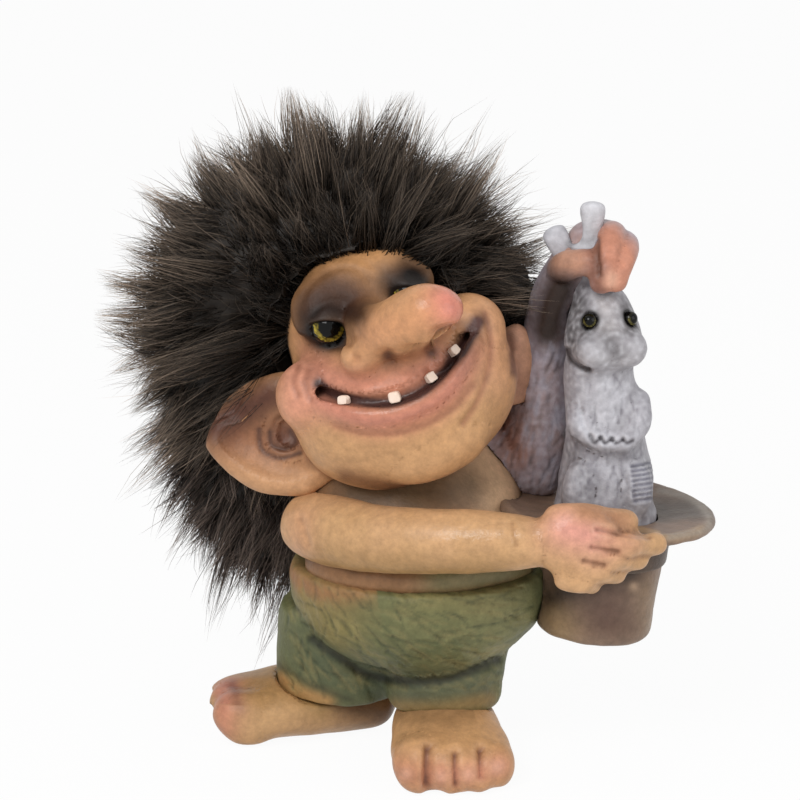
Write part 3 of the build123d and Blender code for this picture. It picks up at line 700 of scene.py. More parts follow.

# %% [markdown]
# The head's paint runs from golden brown on the brow to pink on the muzzle, the nose's tip and the folds,
# with soot-dark lids. A brown wash, partly painted shade, stays in the hollows. Painted shade also darkens
# the groove under the nose, the nostrils, the folds, the ear's top under the hair and the chin's lower edge,
# and the brow is painted lighter against the hair's shadow.

# %% Head's paint
FACE_WINDOWS = {
    "forehead": ((363, 303), (64, 53)),
    "far_ear": ((519, 357), (20, 40)),
    "near_ear": ((266, 446), (58, 42)),
}
FACE_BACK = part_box("head")[1].y - 12 * MM
FAR_EAR = [(516, 330), (520, 388)]
FAR_EAR_HOLLOW = [(510, 335), (514, 372)]
NOSE_SHINE = [(432, 298), (452, 306)]
DULL_BROW = [(330, 300), (400, 275)]


def over_face(points, share):
    """Whether points lie over the forehead or an ear, as the camera sees them."""
    pixels = pixels_of(points)
    inside = np.zeros(len(points), bool)
    for middle, radii in FACE_WINDOWS.values():
        inside |= np.sum(((pixels - middle) / (np.array(radii) * share)) ** 2, axis=1) < 1
    return inside & (points[:, 1] < FACE_BACK)


head.blotch(11, 3, (198, 150, 108), 0.8)
head.blotch(4, 4, (172, 124, 82), 0.35)
# A wash: dark paint in the hollows, partly painted shade, and a light brush on the crests, partly a painted
# highlight.
head.wash_and_painted_shade(9, 0.4, (104, 68, 48), (216, 168, 126), 0.75)
head.wash_and_painted_shade(37, 1.2, (112, 74, 50), (212, 164, 122), 0.7)
head.brush({
    "chin": ((194, 150, 106), 12, 0.8, [(330, 440), (400, 458), (470, 420)]),
    # Painted light: the brow is painted lighter, against the hair's shadow on it.
    "forehead": ((214, 158, 104), 9, 0.9, [(305, 280), (345, 258), (400, 262)]),
    "upper_lip": ((196, 130, 108), 6, 0.85, [(318, 372), (350, 384), (400, 384), (440, 362)]),
    "lower_lip": ((196, 128, 108), 4.5, 0.9, [(320, 400), (352, 416), (390, 420), (440, 400), (480, 350)]),
    "near_cheek": ((212, 146, 122), 7, 0.8, [(294, 366), (296, 404)]),
    "far_cheek": ((212, 158, 120), 7, 0.7, [(490, 318), (494, 372)]),
    "nose_side": ((206, 148, 106), 7, 0.8, [(372, 335), (405, 325), (430, 315)]),
    "nose_tip": ((212, 132, 116), 6, 0.9, [(448, 298), (452, 308)]),
    "lid": ((76, 49, 36), 9.0, 0.95, [(314, 300), (333, 290), (352, 298)]),
    "lid_edge": ((46, 25, 14), 6.0, 0.97, [(308, 316), (330, 308), (356, 314)]),
    "lower_lid": ((54, 36, 26), 3.0, 0.95, [(304, 332), (320, 343), (342, 344)]),
    "far_lid": ((84, 64, 52), 6, 0.9, [(396, 276), (410, 268), (424, 274)]),
    "far_lid_edge": ((52, 34, 24), 4.5, 0.9, [(394, 284), (412, 278)]),
    "ear_rim": ((198, 152, 112), 5, 0.8, EAR_RIM),
    "ear_dish": ((172, 116, 86), 8, 0.6, EAR_DISH),
    # Painted shadow of the hair on the ear's top.
    "ear_top": ((84, 50, 40), 7.5, 0.95, [(215, 428), (240, 412), (268, 396)]),
    # Painted shade along the lower edge of the chin.
    "jaw_shade": ((112, 74, 50), 3.0, 0.8, JAW),
    # Painted shadow in the groove under the nose.
    "under_nose": ((132, 80, 52), 1.8, 0.7, [(392, 358), (420, 352), (440, 338), (458, 322)]),
    # Painted shade in the ear's hollow.
    "ear_hollow_shade": ((96, 64, 54), 5.0, 0.9, EAR_HOLLOW),
})
# Painted shade in the ear's pressed rings.
head.daub(0.8, (78, 54, 46), 0.8, *EAR_RINGS)
head.daub(7.0, (192, 144, 120), 0.9, FAR_EAR)
# Painted shade in the far ear's hollow.
head.daub(1.6, (108, 72, 58), 0.8, FAR_EAR_HOLLOW)
# Painted shade in the nostrils.
head.daub(1.9, (80, 54, 44), 0.9, *NOSTRILS)
# Painted shade in the folds of the cheeks and under the lip.
head.daub(0.9, (146, 94, 72), 0.55, *CHEEK_FOLDS, LIP_FOLD)
head.daub(1.5, (74, 49, 44), 1.5, MOUTH)
head.colour(head.near(mouth_floor, 3.0), (62, 41, 37), 1.2)
head.daub(1.8, (84, 56, 51), 1.1, MOUTH_CORNER)
for node in ("right_eye", "left_eye"):
    head.colour(head.touches(node, 1.4), (26, 21, 19), 1.4)
head.colour(head.touches("wig", 1.4) * ~over_face(head.points, 1.03), (44, 36, 30), 1.2)
head.shine(2.4, 1.0, LOWER_LIP, UPPER_LIP)
head.shine(6.0, 1.0, NOSE_SHINE)
head.shine(9.0, 0.1, DULL_BROW)
head.done(skin_paint, "skin")

# %% [markdown]
# ## Eyes and teeth
# The eyes are glass: a black pupil in an olive-yellow iris under a clear coat, with painted shade over the
# upper part of each, the lid's shadow on the troll's eyes. They look at the viewer. The teeth are ivory pegs
# with soft edges.

# %% Eyes
PUPIL = 0.66
IRIS = 1.0
PUPIL_BLACK = (6, 6, 5)
EYE_OLIVE = (204, 180, 66)
EYE_RIM = (18, 16, 12)
BEAD_OLIVE = (132, 124, 70)
BEAD_RIM = (14, 12, 10)
GAZE = -look + 0.12 * view_right - 0.1 * view_up
BEAD_TURN = {"right": -0.1, "left": 0.8}

wet_coat = {"Specular_IOR_Level": 0.08, "Coat_Weight": 0.2, "Coat_Roughness": 0.02}
eye_glass = even_finish("eye_glass", Roughness=0.08, **wet_coat)
tooth_glaze = even_finish("tooth_glaze", Roughness=0.25, **wet_coat)


def eyeball(name, node, iris, rim, gaze):
    """A glass ball in an eye's place that looks along a direction."""
    low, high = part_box(node)
    radius = (high.x - low.x) / 2
    piece = ball(64, 48, radius, (low + high) / 2)
    piece.name = name
    bpy.ops.object.shade_smooth()
    out = (taken(piece.data.vertices, "co", 3) - np.array((low + high) / 2)) / radius
    gaze = np.array(gaze.normalized())
    angle = np.arccos(np.clip(out @ gaze, -1, 1))
    streak = np.array([np.clip(0.55 + 1.1 * noise.noise(Vector(row) * 9), 0.05, 1) for row in out])
    colour = np.tile(linear(*rim), (len(out), 1))
    ring = (angle > PUPIL) & (angle < IRIS)
    fade = np.clip((angle - PUPIL) / (IRIS - PUPIL), 0, 1)
    colour[ring] = linear(*iris)[None] * (streak * (0.35 + 0.65 * fade))[ring][:, None]
    colour[angle <= PUPIL] = linear(*PUPIL_BLACK)
    # Painted shade: the upper part of each ball is darkened, which on the troll's eyes stands for the lid's
    # shadow.
    colour *= (0.12 + 0.88 * np.clip(0.55 - 1.6 * (out @ np.array(view_up)), 0, 1))[:, None]
    store_paint(piece.data, colour)
    piece.data.materials.append(eye_glass)
    set_in_place(piece, [node])


for side, turn in BEAD_TURN.items():
    eyeball(f"{side}_glass_eye", f"{side}_eye", EYE_OLIVE, EYE_RIM, GAZE)
    bead_gaze = -look + turn * view_right
    eyeball(f"rabbit_{side}_bead", f"rabbit_{side}_eye", BEAD_OLIVE, BEAD_RIM, bead_gaze)
print("iris angles", PUPIL, IRIS)

# %% Teeth
TOOTH_NODES = [f"tooth_{number}" for number in (1, 2, 3, 4)]
teeth = Clay("teeth", TOOTH_NODES, voxel=0.2, melt=44, colour=(238, 220, 206), close=0.1)
teeth.push(1 - 0.6 * teeth.touches("tooth_2", 0.4), -0.45)
teeth.settle()
teeth.melt(70)
teeth.ruffle(2, 4, 0.6)
teeth.settle()
teeth.blotch(2, 5, (224, 196, 172), 0.7)
teeth.done(tooth_glaze, "tooth_white")

# %% [markdown]
# ## Body, arms and feet
# The bare castings get the same skin, with a brown wash on the chest and a blue-grey one on the raised arm.
# Knuckles and toes are dabbed with pink. Painted shade darkens the creases of the hands and feet, the arm's
# underside, the wrist below the raised fist, the chest under the chin and the feet under the trousers' hems;
# painted light brightens the far side of the chest.

# %% Body
BELLY_ROLL = [(300, 562), (340, 580), (381, 583), (440, 580), (520, 566)]
torso = Clay("torso_casting", ["torso"], voxel=0.8, melt=10, colour=(140, 102, 72))
torso.ruffle(10, 6, 1.2)
torso.press(4.0, 2.2, BELLY_ROLL)
torso.settle()
torso.blotch(8, 7, (116, 88, 62), 0.8)
torso.brush({
    # Painted light on the far side of the chest, which lies in the head's shadow.
    "far_chest_painted_light": ((232, 194, 156), 8, 0.95, [(488, 440), (496, 490)]),
    "near_roll": ((126, 90, 60), 6, 0.85, [(310, 568), (350, 582), (390, 582)]),
    "far_roll": ((112, 112, 78), 6, 1.0, [(440, 580), (480, 576), (530, 566)]),
    # Painted shadow of the chin on the chest.
    "under_chin_shadow": ((96, 80, 58), 8, 0.7, [(360, 492), (420, 490), (470, 486)]),
})
# A wash: dark paint in the hollows, partly painted shade, and a light brush on the crests, partly a painted
# highlight.
torso.wash_and_painted_shade(14, 0.4, (70, 50, 38), (160, 122, 88), 0.6)
torso.done(skin_paint, "skin")

# %% Right arm
KNUCKLES = [(566, 528), (592, 536)]
FINGER_ENDS = [(610, 550), (650, 545)]
FINGER_LINES = [[(598, 530), (625, 534), (650, 537)], [(592, 548), (618, 552)], [(584, 562), (604, 566)]]
ARM_FOLDS = [[(512, 524), (516, 545)], [(300, 520), (308, 545)]]
ARM_SHINE = [(450, 540), (520, 535), (592, 534)]
right_arm = Clay("right_arm_casting", ["right_arm"], voxel=0.5, melt=6, colour=(198, 156, 110))
right_arm.melt(14, right_arm.stroke(FINGER_ENDS, 6.0))
right_arm.ruffle(9, 8, 0.7)
right_arm.ruffle(3, 9, 0.15)
right_arm.wrinkle(1.0, 0.6, *FINGER_LINES)
# Painted shade in the lines between the fingers.
right_arm.daub(0.9, (118, 78, 56), 0.6, *FINGER_LINES)
right_arm.wrinkle(1.2, 0.4, *ARM_FOLDS)
right_arm.settle()
right_arm.blotch(9, 10, (206, 162, 122), 0.8)
right_arm.blotch(3.5, 28, (176, 134, 92), 0.35)
right_arm.brush({
    # Painted shade on the arm's lower side.
    "underside_shade": ((164, 128, 82), 6, 0.8, [(320, 560), (400, 572), (500, 572)]),
    "knuckles": ((216, 150, 138), 6.5, 0.85, KNUCKLES),
    "fingers": ((196, 140, 114), 4, 0.6, [(605, 548), (630, 542)]),
    "shoulder": ((196, 142, 108), 5, 0.5, [(300, 520), (300, 545)]),
    "finger_tops": ((166, 118, 86), 3, 0.8, [(585, 512), (625, 518)]),
})
# A wash: dark paint in the hollows, partly painted shade, and a light brush on the crests, partly a painted
# highlight.
right_arm.wash_and_painted_shade(12, 0.35, (104, 68, 46), (214, 172, 134), 0.8)
right_arm.shine(4.5, 1.0, ARM_SHINE)
right_arm.done(skin_paint, "skin")

# %% Left arm
NAIL = [(611, 277), (611, 283)]
NAIL_FOLD = [(600, 266), (611, 262), (622, 266)]
FINGER_GAP = [(597, 240), (597, 256), (599, 274)]
FOREARM = (500, 570, 350, 490)
FOREARM_SCRATCHES = 150
left_arm = Clay("left_arm_casting", ["left_arm"], voxel=0.5, melt=8, colour=(160, 134, 128))
left_arm.ruffle(8, 11, 0.9)
left_arm.ruffle(3, 12, 0.25)
left_arm.settle()
left_arm.blotch(6, 13, (164, 161, 176), 1.0)
left_arm.blotch(2.2, 38, (110, 96, 98), 0.4)
left_arm.blotch(1.5, 39, (204, 203, 216), 0.6, power=2)
# A wash: dark paint in the hollows, partly painted shade, and a light brush on the crests, partly a painted
# highlight.
left_arm.wash_and_painted_shade(12, 0.35, (76, 54, 47), (206, 160, 136), 0.65)
left_arm.brush({
    "elbow": ((182, 130, 108), 5, 0.75, [(508, 425), (514, 455)]),
    "thumb": ((186, 140, 116), 7, 1.1, [(562, 258), (575, 260)]),
    "fingers": ((192, 132, 108), 7, 1.2, [(606, 240), (622, 262), (620, 286)]),
    # Painted shade in the gap between the fingers.
    "finger_gap_shade": ((122, 78, 60), 2.5, 0.8, [(592, 250), (596, 268), (600, 286)]),
    # Painted shadow on the wrist below the fist.
    "wrist_shadow": ((50, 38, 33), 6.5, 1.1, [(560, 290), (552, 308), (548, 330)]),
    "nail": ((222, 172, 146), 2.0, 0.8, [(611, 278), (611, 282)]),
})
for _ in range(FOREARM_SCRATCHES):
    spot = spot_in(FOREARM)
    half = np.array((rng.normal(2, 2), -rng.uniform(5, 11)))
    line = [spot - half, spot + (0.6, 0), spot + half]
    left_arm.scratch(line, 0.5, 0.12, (168, 167, 180), 0.55, (88, 74, 72), 0.28)
left_arm.press(2.0, 0.4, NAIL)
left_arm.wrinkle(0.9, 0.3, NAIL_FOLD)
left_arm.wrinkle(1.0, 0.7, FINGER_GAP)
# Painted shade in the gap between the fingers.
left_arm.daub(0.9, (96, 60, 46), 0.8, FINGER_GAP)
left_arm.settle()
left_arm.done(skin_paint, "skin")

# %% Left foot
TOE_NAILS = [[(406, 774)], [(441, 777)], [(468, 775)], [(497, 768)]]
TOE_GROOVES = [[(428, 748), (427, 786)], [(455, 754), (456, 787)], [(481, 750), (482, 778)]]
left_foot = Clay("left_foot_casting", ["left_foot"], voxel=0.5, melt=6, colour=(198, 152, 106))
left_foot.melt(60)
left_foot.wrinkle(1.5, 1.7, *TOE_GROOVES)
# Painted shade in the grooves between the toes.
left_foot.daub(1.0, (90, 58, 44), 0.85, *TOE_GROOVES)
left_foot.ruffle(7, 14, 0.6)
left_foot.settle()
left_foot.blotch(8, 15, (180, 134, 90), 0.6)
left_foot.brush({
    "big_toe": ((190, 128, 100), 5, 0.8, [(400, 772), (420, 776)]),
    "small_toes": ((198, 136, 112), 4, 0.8, [(442, 774), (470, 774), (500, 766)]),
    # Painted shade on the foot under the trousers' hem.
    "under_hem_shade": ((128, 96, 62), 3.5, 0.6, [(395, 712), (440, 716), (490, 706)]),
})
left_foot.daub(1.8, (218, 164, 138), 0.8, *TOE_NAILS)
# A wash: dark paint in the hollows, partly painted shade, and a light brush on the crests, partly a painted
# highlight.
left_foot.wash_and_painted_shade(14, 0.4, (112, 72, 56), (212, 166, 126), 0.8)
left_foot.done(skin_paint, "skin")

# %% Right foot
SIDE_TOES = [(226, 688), (226, 716)]
right_foot = Clay("right_foot_casting", ["right_foot"], voxel=0.5, melt=6, colour=(176, 136, 88))
right_foot.melt(90)
right_foot.drag(right_foot.stroke(SIDE_TOES, 7.0), (-3.0, 0, 1.0))
right_foot.ruffle(7, 16, 0.6)
right_foot.settle()
right_foot.blotch(8, 17, (160, 120, 76), 0.7)
right_foot.brush({
    "toes": ((192, 120, 102), 5, 0.85, [(224, 686), (226, 726)]),
    # Painted shade in the gaps between the toes.
    "upper_toe_gap_shade": ((128, 78, 66), 1.6, 0.8, [(232, 684), (236, 694)]),
    "lower_toe_gap_shade": ((128, 78, 66), 1.6, 0.8, [(238, 704), (241, 712)]),
    "sole_edge": ((204, 164, 122), 7, 0.6, [(250, 730), (330, 728)]),
    # Painted shadow on the heel under the trousers.
    "heel_shadow": ((92, 68, 52), 5, 0.8, [(345, 704), (384, 714)]),
    # Painted shade on the foot under the trousers' hem.
    "under_hem_shade": ((140, 112, 64), 4, 0.6, [(284, 682), (320, 706)]),
})
# A wash: dark paint in the hollows, partly painted shade, and a light brush on the crests, partly a painted
# highlight.
right_foot.wash_and_painted_shade(14, 0.4, (112, 72, 56), (212, 172, 130), 0.8)
right_foot.done(skin_paint, "skin")

# %% [markdown]
# ## Trousers
# Green cloth, modelled in the same rubber: a soft crease under the belly, a rolled waist, and the short
# combed strokes of the sculptor's tool, which the ochre dry-brushing picks out.

# %% Trousers
CREASE = [(312, 640), (345, 662), (378, 678), (440, 681), (498, 660)]
WAIST = [(288, 566), (302, 582), (335, 592), (404, 580), (470, 576), (530, 572)]
CLOTH = (285, 525, 585, 690)
CLOTH_SCRATCHES = 320

trousers = Clay("trousers_casting", ["trousers"], voxel=0.65, melt=6, colour=(92, 98, 66))
trousers.melt(36, 0.5 * trousers.stroke(WAIST, 2.0))
trousers.ruffle(14, 18, 1.4)
trousers.ruffle(5, 19, 0.5)
trousers.wrinkle(1.3, 0.9, CREASE)
trousers.settle()
trousers.blotch(10, 20, (112, 110, 74), 0.7)
trousers.brush({
    "near_belly": ((138, 122, 72), 8, 0.75, [(306, 600), (334, 628)]),
    "far_belly": ((130, 120, 76), 8, 0.6, [(420, 592), (500, 592)]),
    "near_leg": ((74, 84, 66), 9, 0.7, [(320, 660), (372, 684)]),
    "far_leg": ((126, 124, 86), 8, 0.6, [(512, 612), (490, 650), (440, 694)]),
    # Painted shadow along the far leg's hem.
    "far_hem_shadow": ((68, 80, 70), 5, 0.7, [(410, 692), (480, 684)]),
    "waist": ((138, 112, 72), 6.0, 0.7, WAIST[:4]),
    "waist_edge": ((152, 106, 70), 2.8, 0.9, WAIST[:4]),
    "far_cuff": ((140, 112, 70), 2.6, 0.8, [(392, 707), (440, 709), (490, 700)]),
    "near_cuff": ((170, 130, 82), 2.6, 1.1, [(281, 680), (300, 694), (326, 703)]),
    "near_cuff_groove": ((54, 54, 40), 1.0, 0.6, [(277, 664), (300, 678), (330, 692), (352, 700)]),
})
for _ in range(CLOTH_SCRATCHES):
    spot = spot_in(CLOTH)
    slope = math.radians(rng.normal(35 - 0.35 * (spot[0] - 400), 16))
    half = rng.uniform(6, 13) * np.array((math.cos(slope), math.sin(slope)))
    line = [spot - half, spot + half * 0.2 + (1, 0), spot + half]
    trousers.scratch(line, 0.4, 0.16, (150, 138, 92), 0.6, (66, 72, 50), 0.35)
# A wash: dark paint in the hollows, partly painted shade, and a light brush on the crests, partly a painted
# highlight.
trousers.wash_and_painted_shade(14, 0.45, (44, 48, 34), (140, 132, 86), 0.75)
# Painted shade in the crease under the belly.
trousers.daub(1.3, (46, 46, 38), 0.7, CREASE)
trousers.done(cloth_paint, "trouser_rubber")

# %% [markdown]
# ## Hat and rabbit
# The hat is dented felt in rubber, brown with pale edges, partly a painted highlight, and a painted shadow
# under the brim and the hand. The rabbit is pale grey: its coat is scratched in, its hollows are dark with a
# wash and painted shade, and its cheeks, chest and ears are brushed nearly white.

# %% Hat
hat = Clay("hat_casting", ["hat"], voxel=0.6, melt=4, colour=(138, 114, 97))
hat.ruffle(12, 21, 1.0)
hat.ruffle(4, 22, 0.3)
hat.settle()
hat.blotch(7, 23, (104, 82, 68), 0.8)
hat.brush({
    "brim_inside": ((82, 74, 67), 8, 0.9, [(640, 512), (694, 510)]),
    # Pale edges of the brim, partly a painted highlight.
    "pale_brim_front_and_highlight": ((176, 142, 104), 1.6, 0.8, [(640, 530), (676, 536), (700, 530)]),
    "pale_brim_edge_and_highlight": ((150, 142, 132), 1.2, 0.7, [(660, 490), (690, 498), (708, 515), (704, 530), (670, 537)]),
    "near_crown": ((158, 132, 92), 6, 0.6, [(555, 612), (560, 630)]),
    "far_crown": ((150, 126, 100), 4, 0.6, [(648, 590), (650, 625)]),
    # Painted shadow under the brim and the hand.
    "under_brim_shadow": ((40, 31, 27), 4.5, 0.85, [(552, 596), (590, 584), (628, 572)]),
    "crown": ((96, 70, 64), 7, 0.5, [(605, 610)]),
    "ribbon_end": ((190, 160, 132), 1.3, 0.7, [(634, 587)]),
})
# A wash: dark paint in the hollows, partly painted shade, and a light brush on the crests, partly a painted
# highlight.
hat.wash_and_painted_shade(12, 0.35, (64, 50, 42), (160, 142, 122), 0.6)
hat.done(felt_paint, "hat_rubber")

band = Clay("hat_ribbon", ["hat_band"], voxel=0.55, melt=3, colour=(84, 67, 56))
band.ruffle(5, 24, 0.4)
band.blotch(5, 25, (72, 62, 56), 0.8)
# A wash: dark paint in the hollows, partly painted shade, and a light brush on the crests, partly a painted
# highlight.
band.wash_and_painted_shade(10, 0.3, (56, 44, 38), (170, 152, 132), 0.7)
band.done(felt_paint, "hat_rubber")

# %% Rabbit
COAT = (560, 645, 375, 500)
COAT_SCRATCHES = 170
TALL_EAR = [(590, 205), (590, 235)]
BENT_EAR = [(560, 240)]
MUZZLE_PIT = [(615, 334)]
CHEEK_LINE = [(567, 350), (571, 360), (580, 367), (589, 370)]
ARM_LINE = [(581, 411), (584, 424), (591, 437)]
CLAWS = [[(590 + 11 * step, 436 + step), (594 + 11 * step, 443), (600 + 11 * step, 438 + step)]
         for step in range(4)]
RIBS = [[(632 + 0.4 * step, 466 + 5 * step), (650 + 0.6 * step, 463 + 5 * step)] for step in range(8)]

rabbit = Clay("rabbit_casting", ["rabbit"], voxel=0.5, melt=8, colour=(164, 161, 166))
rabbit.melt(30, np.clip(rabbit.stroke(TALL_EAR, 8.0) + rabbit.stroke(BENT_EAR, 6.0), 0, 1))
rabbit.press(2.6, -0.9, MUZZLE_PIT)
rabbit.settle()
rabbit.wrinkle(0.9, 0.8, CHEEK_LINE)
rabbit.wrinkle(0.9, 0.5, ARM_LINE)
rabbit.wrinkle(0.7, 0.6, *CLAWS)
rabbit.wrinkle(0.6, 0.5, *RIBS)
rabbit.ruffle(6, 26, 0.6)
rabbit.settle()
rabbit.blotch(6, 27, (136, 133, 142), 0.8)
rabbit.brush({
    "cheeks": ((176, 172, 174), 5, 0.9, [(582, 356), (606, 362), (636, 356)]),
    "chest": ((202, 201, 207), 6, 0.85, [(608, 388), (606, 425)]),
    "belly": ((196, 196, 204), 4, 0.7, [(600, 460), (618, 480)]),
    "brow": ((176, 170, 168), 5, 0.8, [(605, 302), (608, 325)]),
    "tall_ear": ((218, 218, 222), 6, 0.9, [(590, 205), (590, 240)]),
    "bent_ear": ((200, 200, 206), 4, 0.8, [(552, 232), (562, 250)]),
    "cheek_shadow": ((46, 42, 41), 4.0, 0.95, [(577, 302), (573, 325), (570, 345)]),
    "near_eye": ((70, 65, 63), 3.4, 0.9, [(576, 310), (585, 328)]),
    "far_eye": ((70, 65, 63), 2.6, 0.9, [(626, 308), (632, 328)]),
    "nose": ((96, 92, 92), 2.6, 0.8, [(606, 338), (616, 350)]),
    "mouth": ((110, 106, 106), 2.0, 0.6, [(622, 352)]),
    "side": ((150, 146, 154), 5, 0.7, [(566, 420), (562, 470)]),
    # Painted shade between the haunch and the body.
    "haunch_shade": ((84, 78, 80), 2.4, 0.7, [(571, 452), (580, 466), (584, 486)]),
})
for _ in range(COAT_SCRATCHES):
    spot = spot_in(COAT)
    half = np.array((rng.normal(0, 1.5), rng.uniform(4, 8)))
    line = [spot - half, spot + (0.6, 0), spot + half]
    rabbit.scratch(line, 0.4, 0.08, (210, 210, 216), 0.6, (112, 108, 118), 0.35)
rabbit.blotch(2.0, 36, (112, 107, 112), 0.45)
rabbit.blotch(1.4, 37, (222, 221, 226), 0.6, power=2)
# A wash: dark paint in the hollows, partly painted shade, and a light brush on the crests, partly a painted
# highlight.
rabbit.wash_and_painted_shade(12, 0.35, (74, 68, 72), (208, 208, 214), 0.8)
# Painted shade in the fold along the cheek.
rabbit.daub(0.7, (40, 36, 36), 0.85, CHEEK_LINE)
rabbit.daub(0.8, (214, 214, 220), 0.6, ARM_LINE)
rabbit.daub(0.5, (52, 48, 52), 0.7, *CLAWS)
rabbit.daub(0.5, (88, 88, 104), 0.7, *RIBS)
for node in ("rabbit_right_eye", "rabbit_left_eye"):
    rabbit.colour(rabbit.touches(node, 0.9), (30, 27, 26), 1.2)
rabbit.done(rabbit_paint, "rabbit_rubber")

# %% [markdown]
# ## Fur
# The wig and the mane are long-haired fur. A dark, tufted undercoat fills most of the fur's solids. On it
# stand tapered three-sided hairs, which fan out from the face and lean together in tufts.

# %% Fur's tools
fur_rng = np.random.default_rng(21)
HAIR_RADIUS = 0.14 * MM
THICKNESS_RANGE = (0.7, 1.3)
HAIR_TAPER = 0.88
HAIR_BEND = 0.07
ROOT_SCATTER = 0.6
TUFT_LEAN = 4.2 * MM
TUFT_WIDTH = 0.12
STRETCH_RANGE = (0.75, 1.2)
PULL_RANGE = (0.6, 1.0)
STRAY_SHARE = 0.12
STRAY_PULL = 0.1
RINGS = np.array([0, 0.4, 0.75])
BATCH = 4000
PROUD = 13 * MM
FLOOR_GAP = 3 * MM
SKIN_GAP = 3 * MM

dark_fur = even_finish("dark_fur", Roughness=0.5, Specular_IOR_Level=0.25)


def unit(rows):
    """Rows of directions, each of length 1."""
    return rows / np.linalg.norm(rows, axis=1, keepdims=True)


def plant(name, node, roots, tips, bends, tones):
    """One piece of fur: a tapered three-sided hair from each root to its tip, bowed by a bend."""
    count = len(roots)
    run = tips - roots
    side = unit(np.cross(run, fur_rng.normal(size=(count, 3))))
    other = unit(np.cross(run, side))
    rows = []
    thick = HAIR_RADIUS * fur_rng.uniform(*THICKNESS_RANGE, (count, 1))
    for along in RINGS:
        middle = roots + run * along + bends * (along * (1 - along) * 4)
        for corner in range(3):
            angle = 2 * math.pi * corner / 3
            out = side * math.cos(angle) + other * math.sin(angle)
            rows.append(middle + out * thick * (1 - HAIR_TAPER * along))
    rows.append(tips)
    points = np.stack(rows, axis=1).reshape(-1, 3)
    per = 3 * len(RINGS) + 1
    pattern = [(0, 2, 1)]
    for ring in range(len(RINGS) - 1):
        for corner in range(3):
            a, b = 3 * ring + corner, 3 * ring + (corner + 1) % 3
            pattern += [(a, b, b + 3), (a, b + 3, a + 3)]
    top = 3 * (len(RINGS) - 1)
    pattern += [(top + corner, top + (corner + 1) % 3, per - 1) for corner in range(3)]
    faces = (np.array(pattern)[None] + per * np.arange(count)[:, None, None]).reshape(-1, 3)
    mesh = bpy.data.meshes.new(name)
    mesh.vertices.add(len(points))
    mesh.vertices.foreach_set("co", points.astype(np.float32).ravel())
    mesh.loops.add(faces.size)
    mesh.loops.foreach_set("vertex_index", faces.astype(np.int32).ravel())
    mesh.polygons.add(len(faces))
    mesh.polygons.foreach_set("loop_start", np.arange(0, faces.size, 3, dtype=np.int32))
    mesh.update(calc_edges=True)
    mesh.shade_smooth()
    # Each hair is darker at its root and lighter at its tip: partly the fur's own tone, partly painted shade
    # inside the fur and painted light on the tips.
    along = np.append(np.repeat(RINGS, 3), 1.0)
    shade = tones[:, None] * (0.35 + 1.5 * along ** 1.4)[None, :, None]
    store_paint(mesh, shade.reshape(-1, 3))
    mesh.materials.append(dark_fur)
    set_in_place(new_piece(name, mesh), [node])
    print(name, "triangles", len(mesh.polygons))


def tufted(roots, tips, tuft_count):
    """Draws the tips of neighbouring hairs together into tufts, which thin out to a wisp."""
    leaders = fur_rng.choice(len(roots), tuft_count, replace=False)
    column = (len(roots), 1)
    stretch = fur_rng.uniform(*STRETCH_RANGE, column)
    own = 0.55 + 0.6 * fur_rng.random(column) ** 1.8
    pulls = fur_rng.uniform(*PULL_RANGE, column)
    pulls[fur_rng.random(column) < STRAY_SHARE] = STRAY_PULL
    sway = fur_rng.normal(size=roots.shape) * TUFT_LEAN
    moved = tips.copy()
    for start in range(0, len(roots), BATCH):
        part = slice(start, start + BATCH)
        gap = np.linalg.norm(roots[part, None, :] - roots[None, leaders, :], axis=2)
        lead = leaders[np.argmin(gap, axis=1)]
        pull = pulls[part]
        tuft = tips[lead] + TUFT_WIDTH * (roots[part] - roots[lead]) + sway[lead]
        moved[part] = tips[part] * (1 - pull) + tuft * pull
        moved[part] = roots[part] + (moved[part] - roots[part]) * stretch[lead] * own[part]
    return moved


def part_from_face(coat):
    """Moves the undercoat behind the skin where it would hide the forehead or an ear."""
    for index in np.nonzero(over_face(coat.points, 1.0))[0]:
        direction = (Vector(coat.points[index]) - eye).normalized()
        skin = head.tree.ray_cast(eye, direction)[3]
        if skin is not None and (Vector(coat.points[index]) - eye).length < skin + SKIN_GAP:
            coat.points[index] = eye + direction * (skin + SKIN_GAP)
    coat.settle()


def undercoat(node, sink, seed):
    """The dense fur inside a fur solid: the solid, drawn in and ruffled."""
    coat = Clay(f"{node}_undercoat", [node], voxel=1.2, melt=4, colour=(26, 22, 19))
    coat.push(np.ones(len(coat.points)), -sink)
    coat.ruffle(6, seed, 3.0)
    coat.ruffle(2.5, seed + 1, 1.5)
    coat.settle()
    coat.blotch(1.5, seed + 2, (52, 45, 39), 0.8)
    return coat


def inside_box(tips):
    """Keeps tips within what fur may stand proud of the solids' box, and off the floor."""
    lift = np.array((0, 0, PROUD + FLOOR_GAP))
    return np.clip(tips, np.array(cad_low) - PROUD + lift, np.array(cad_high) + PROUD)


def sown(coat, away, count, sink):
    """Roots of hairs, sown by chance over an undercoat and sunk into it, and the normals at them."""
    chosen = fur_rng.choice(len(coat.points), count, p=away / away.sum())
    roots = coat.points[chosen] + fur_rng.normal(size=(count, 3)) * ROOT_SCATTER * MM
    return roots - coat.normals[chosen] * sink * MM, coat.normals[chosen]


def combed(roots, lean, length, tuft_count, colour):
    """The tips, bends and tones of hairs: most are dark and a few are pale."""
    tips = inside_box(tufted(roots, roots + lean * length[:, None], tuft_count))
    bends = fur_rng.normal(size=roots.shape) * (HAIR_BEND * length)[:, None]
    tones = linear(*colour)[None] * (0.25 + 2.6 * fur_rng.random((len(roots), 1)) ** 2)
    return tips, bends, tones


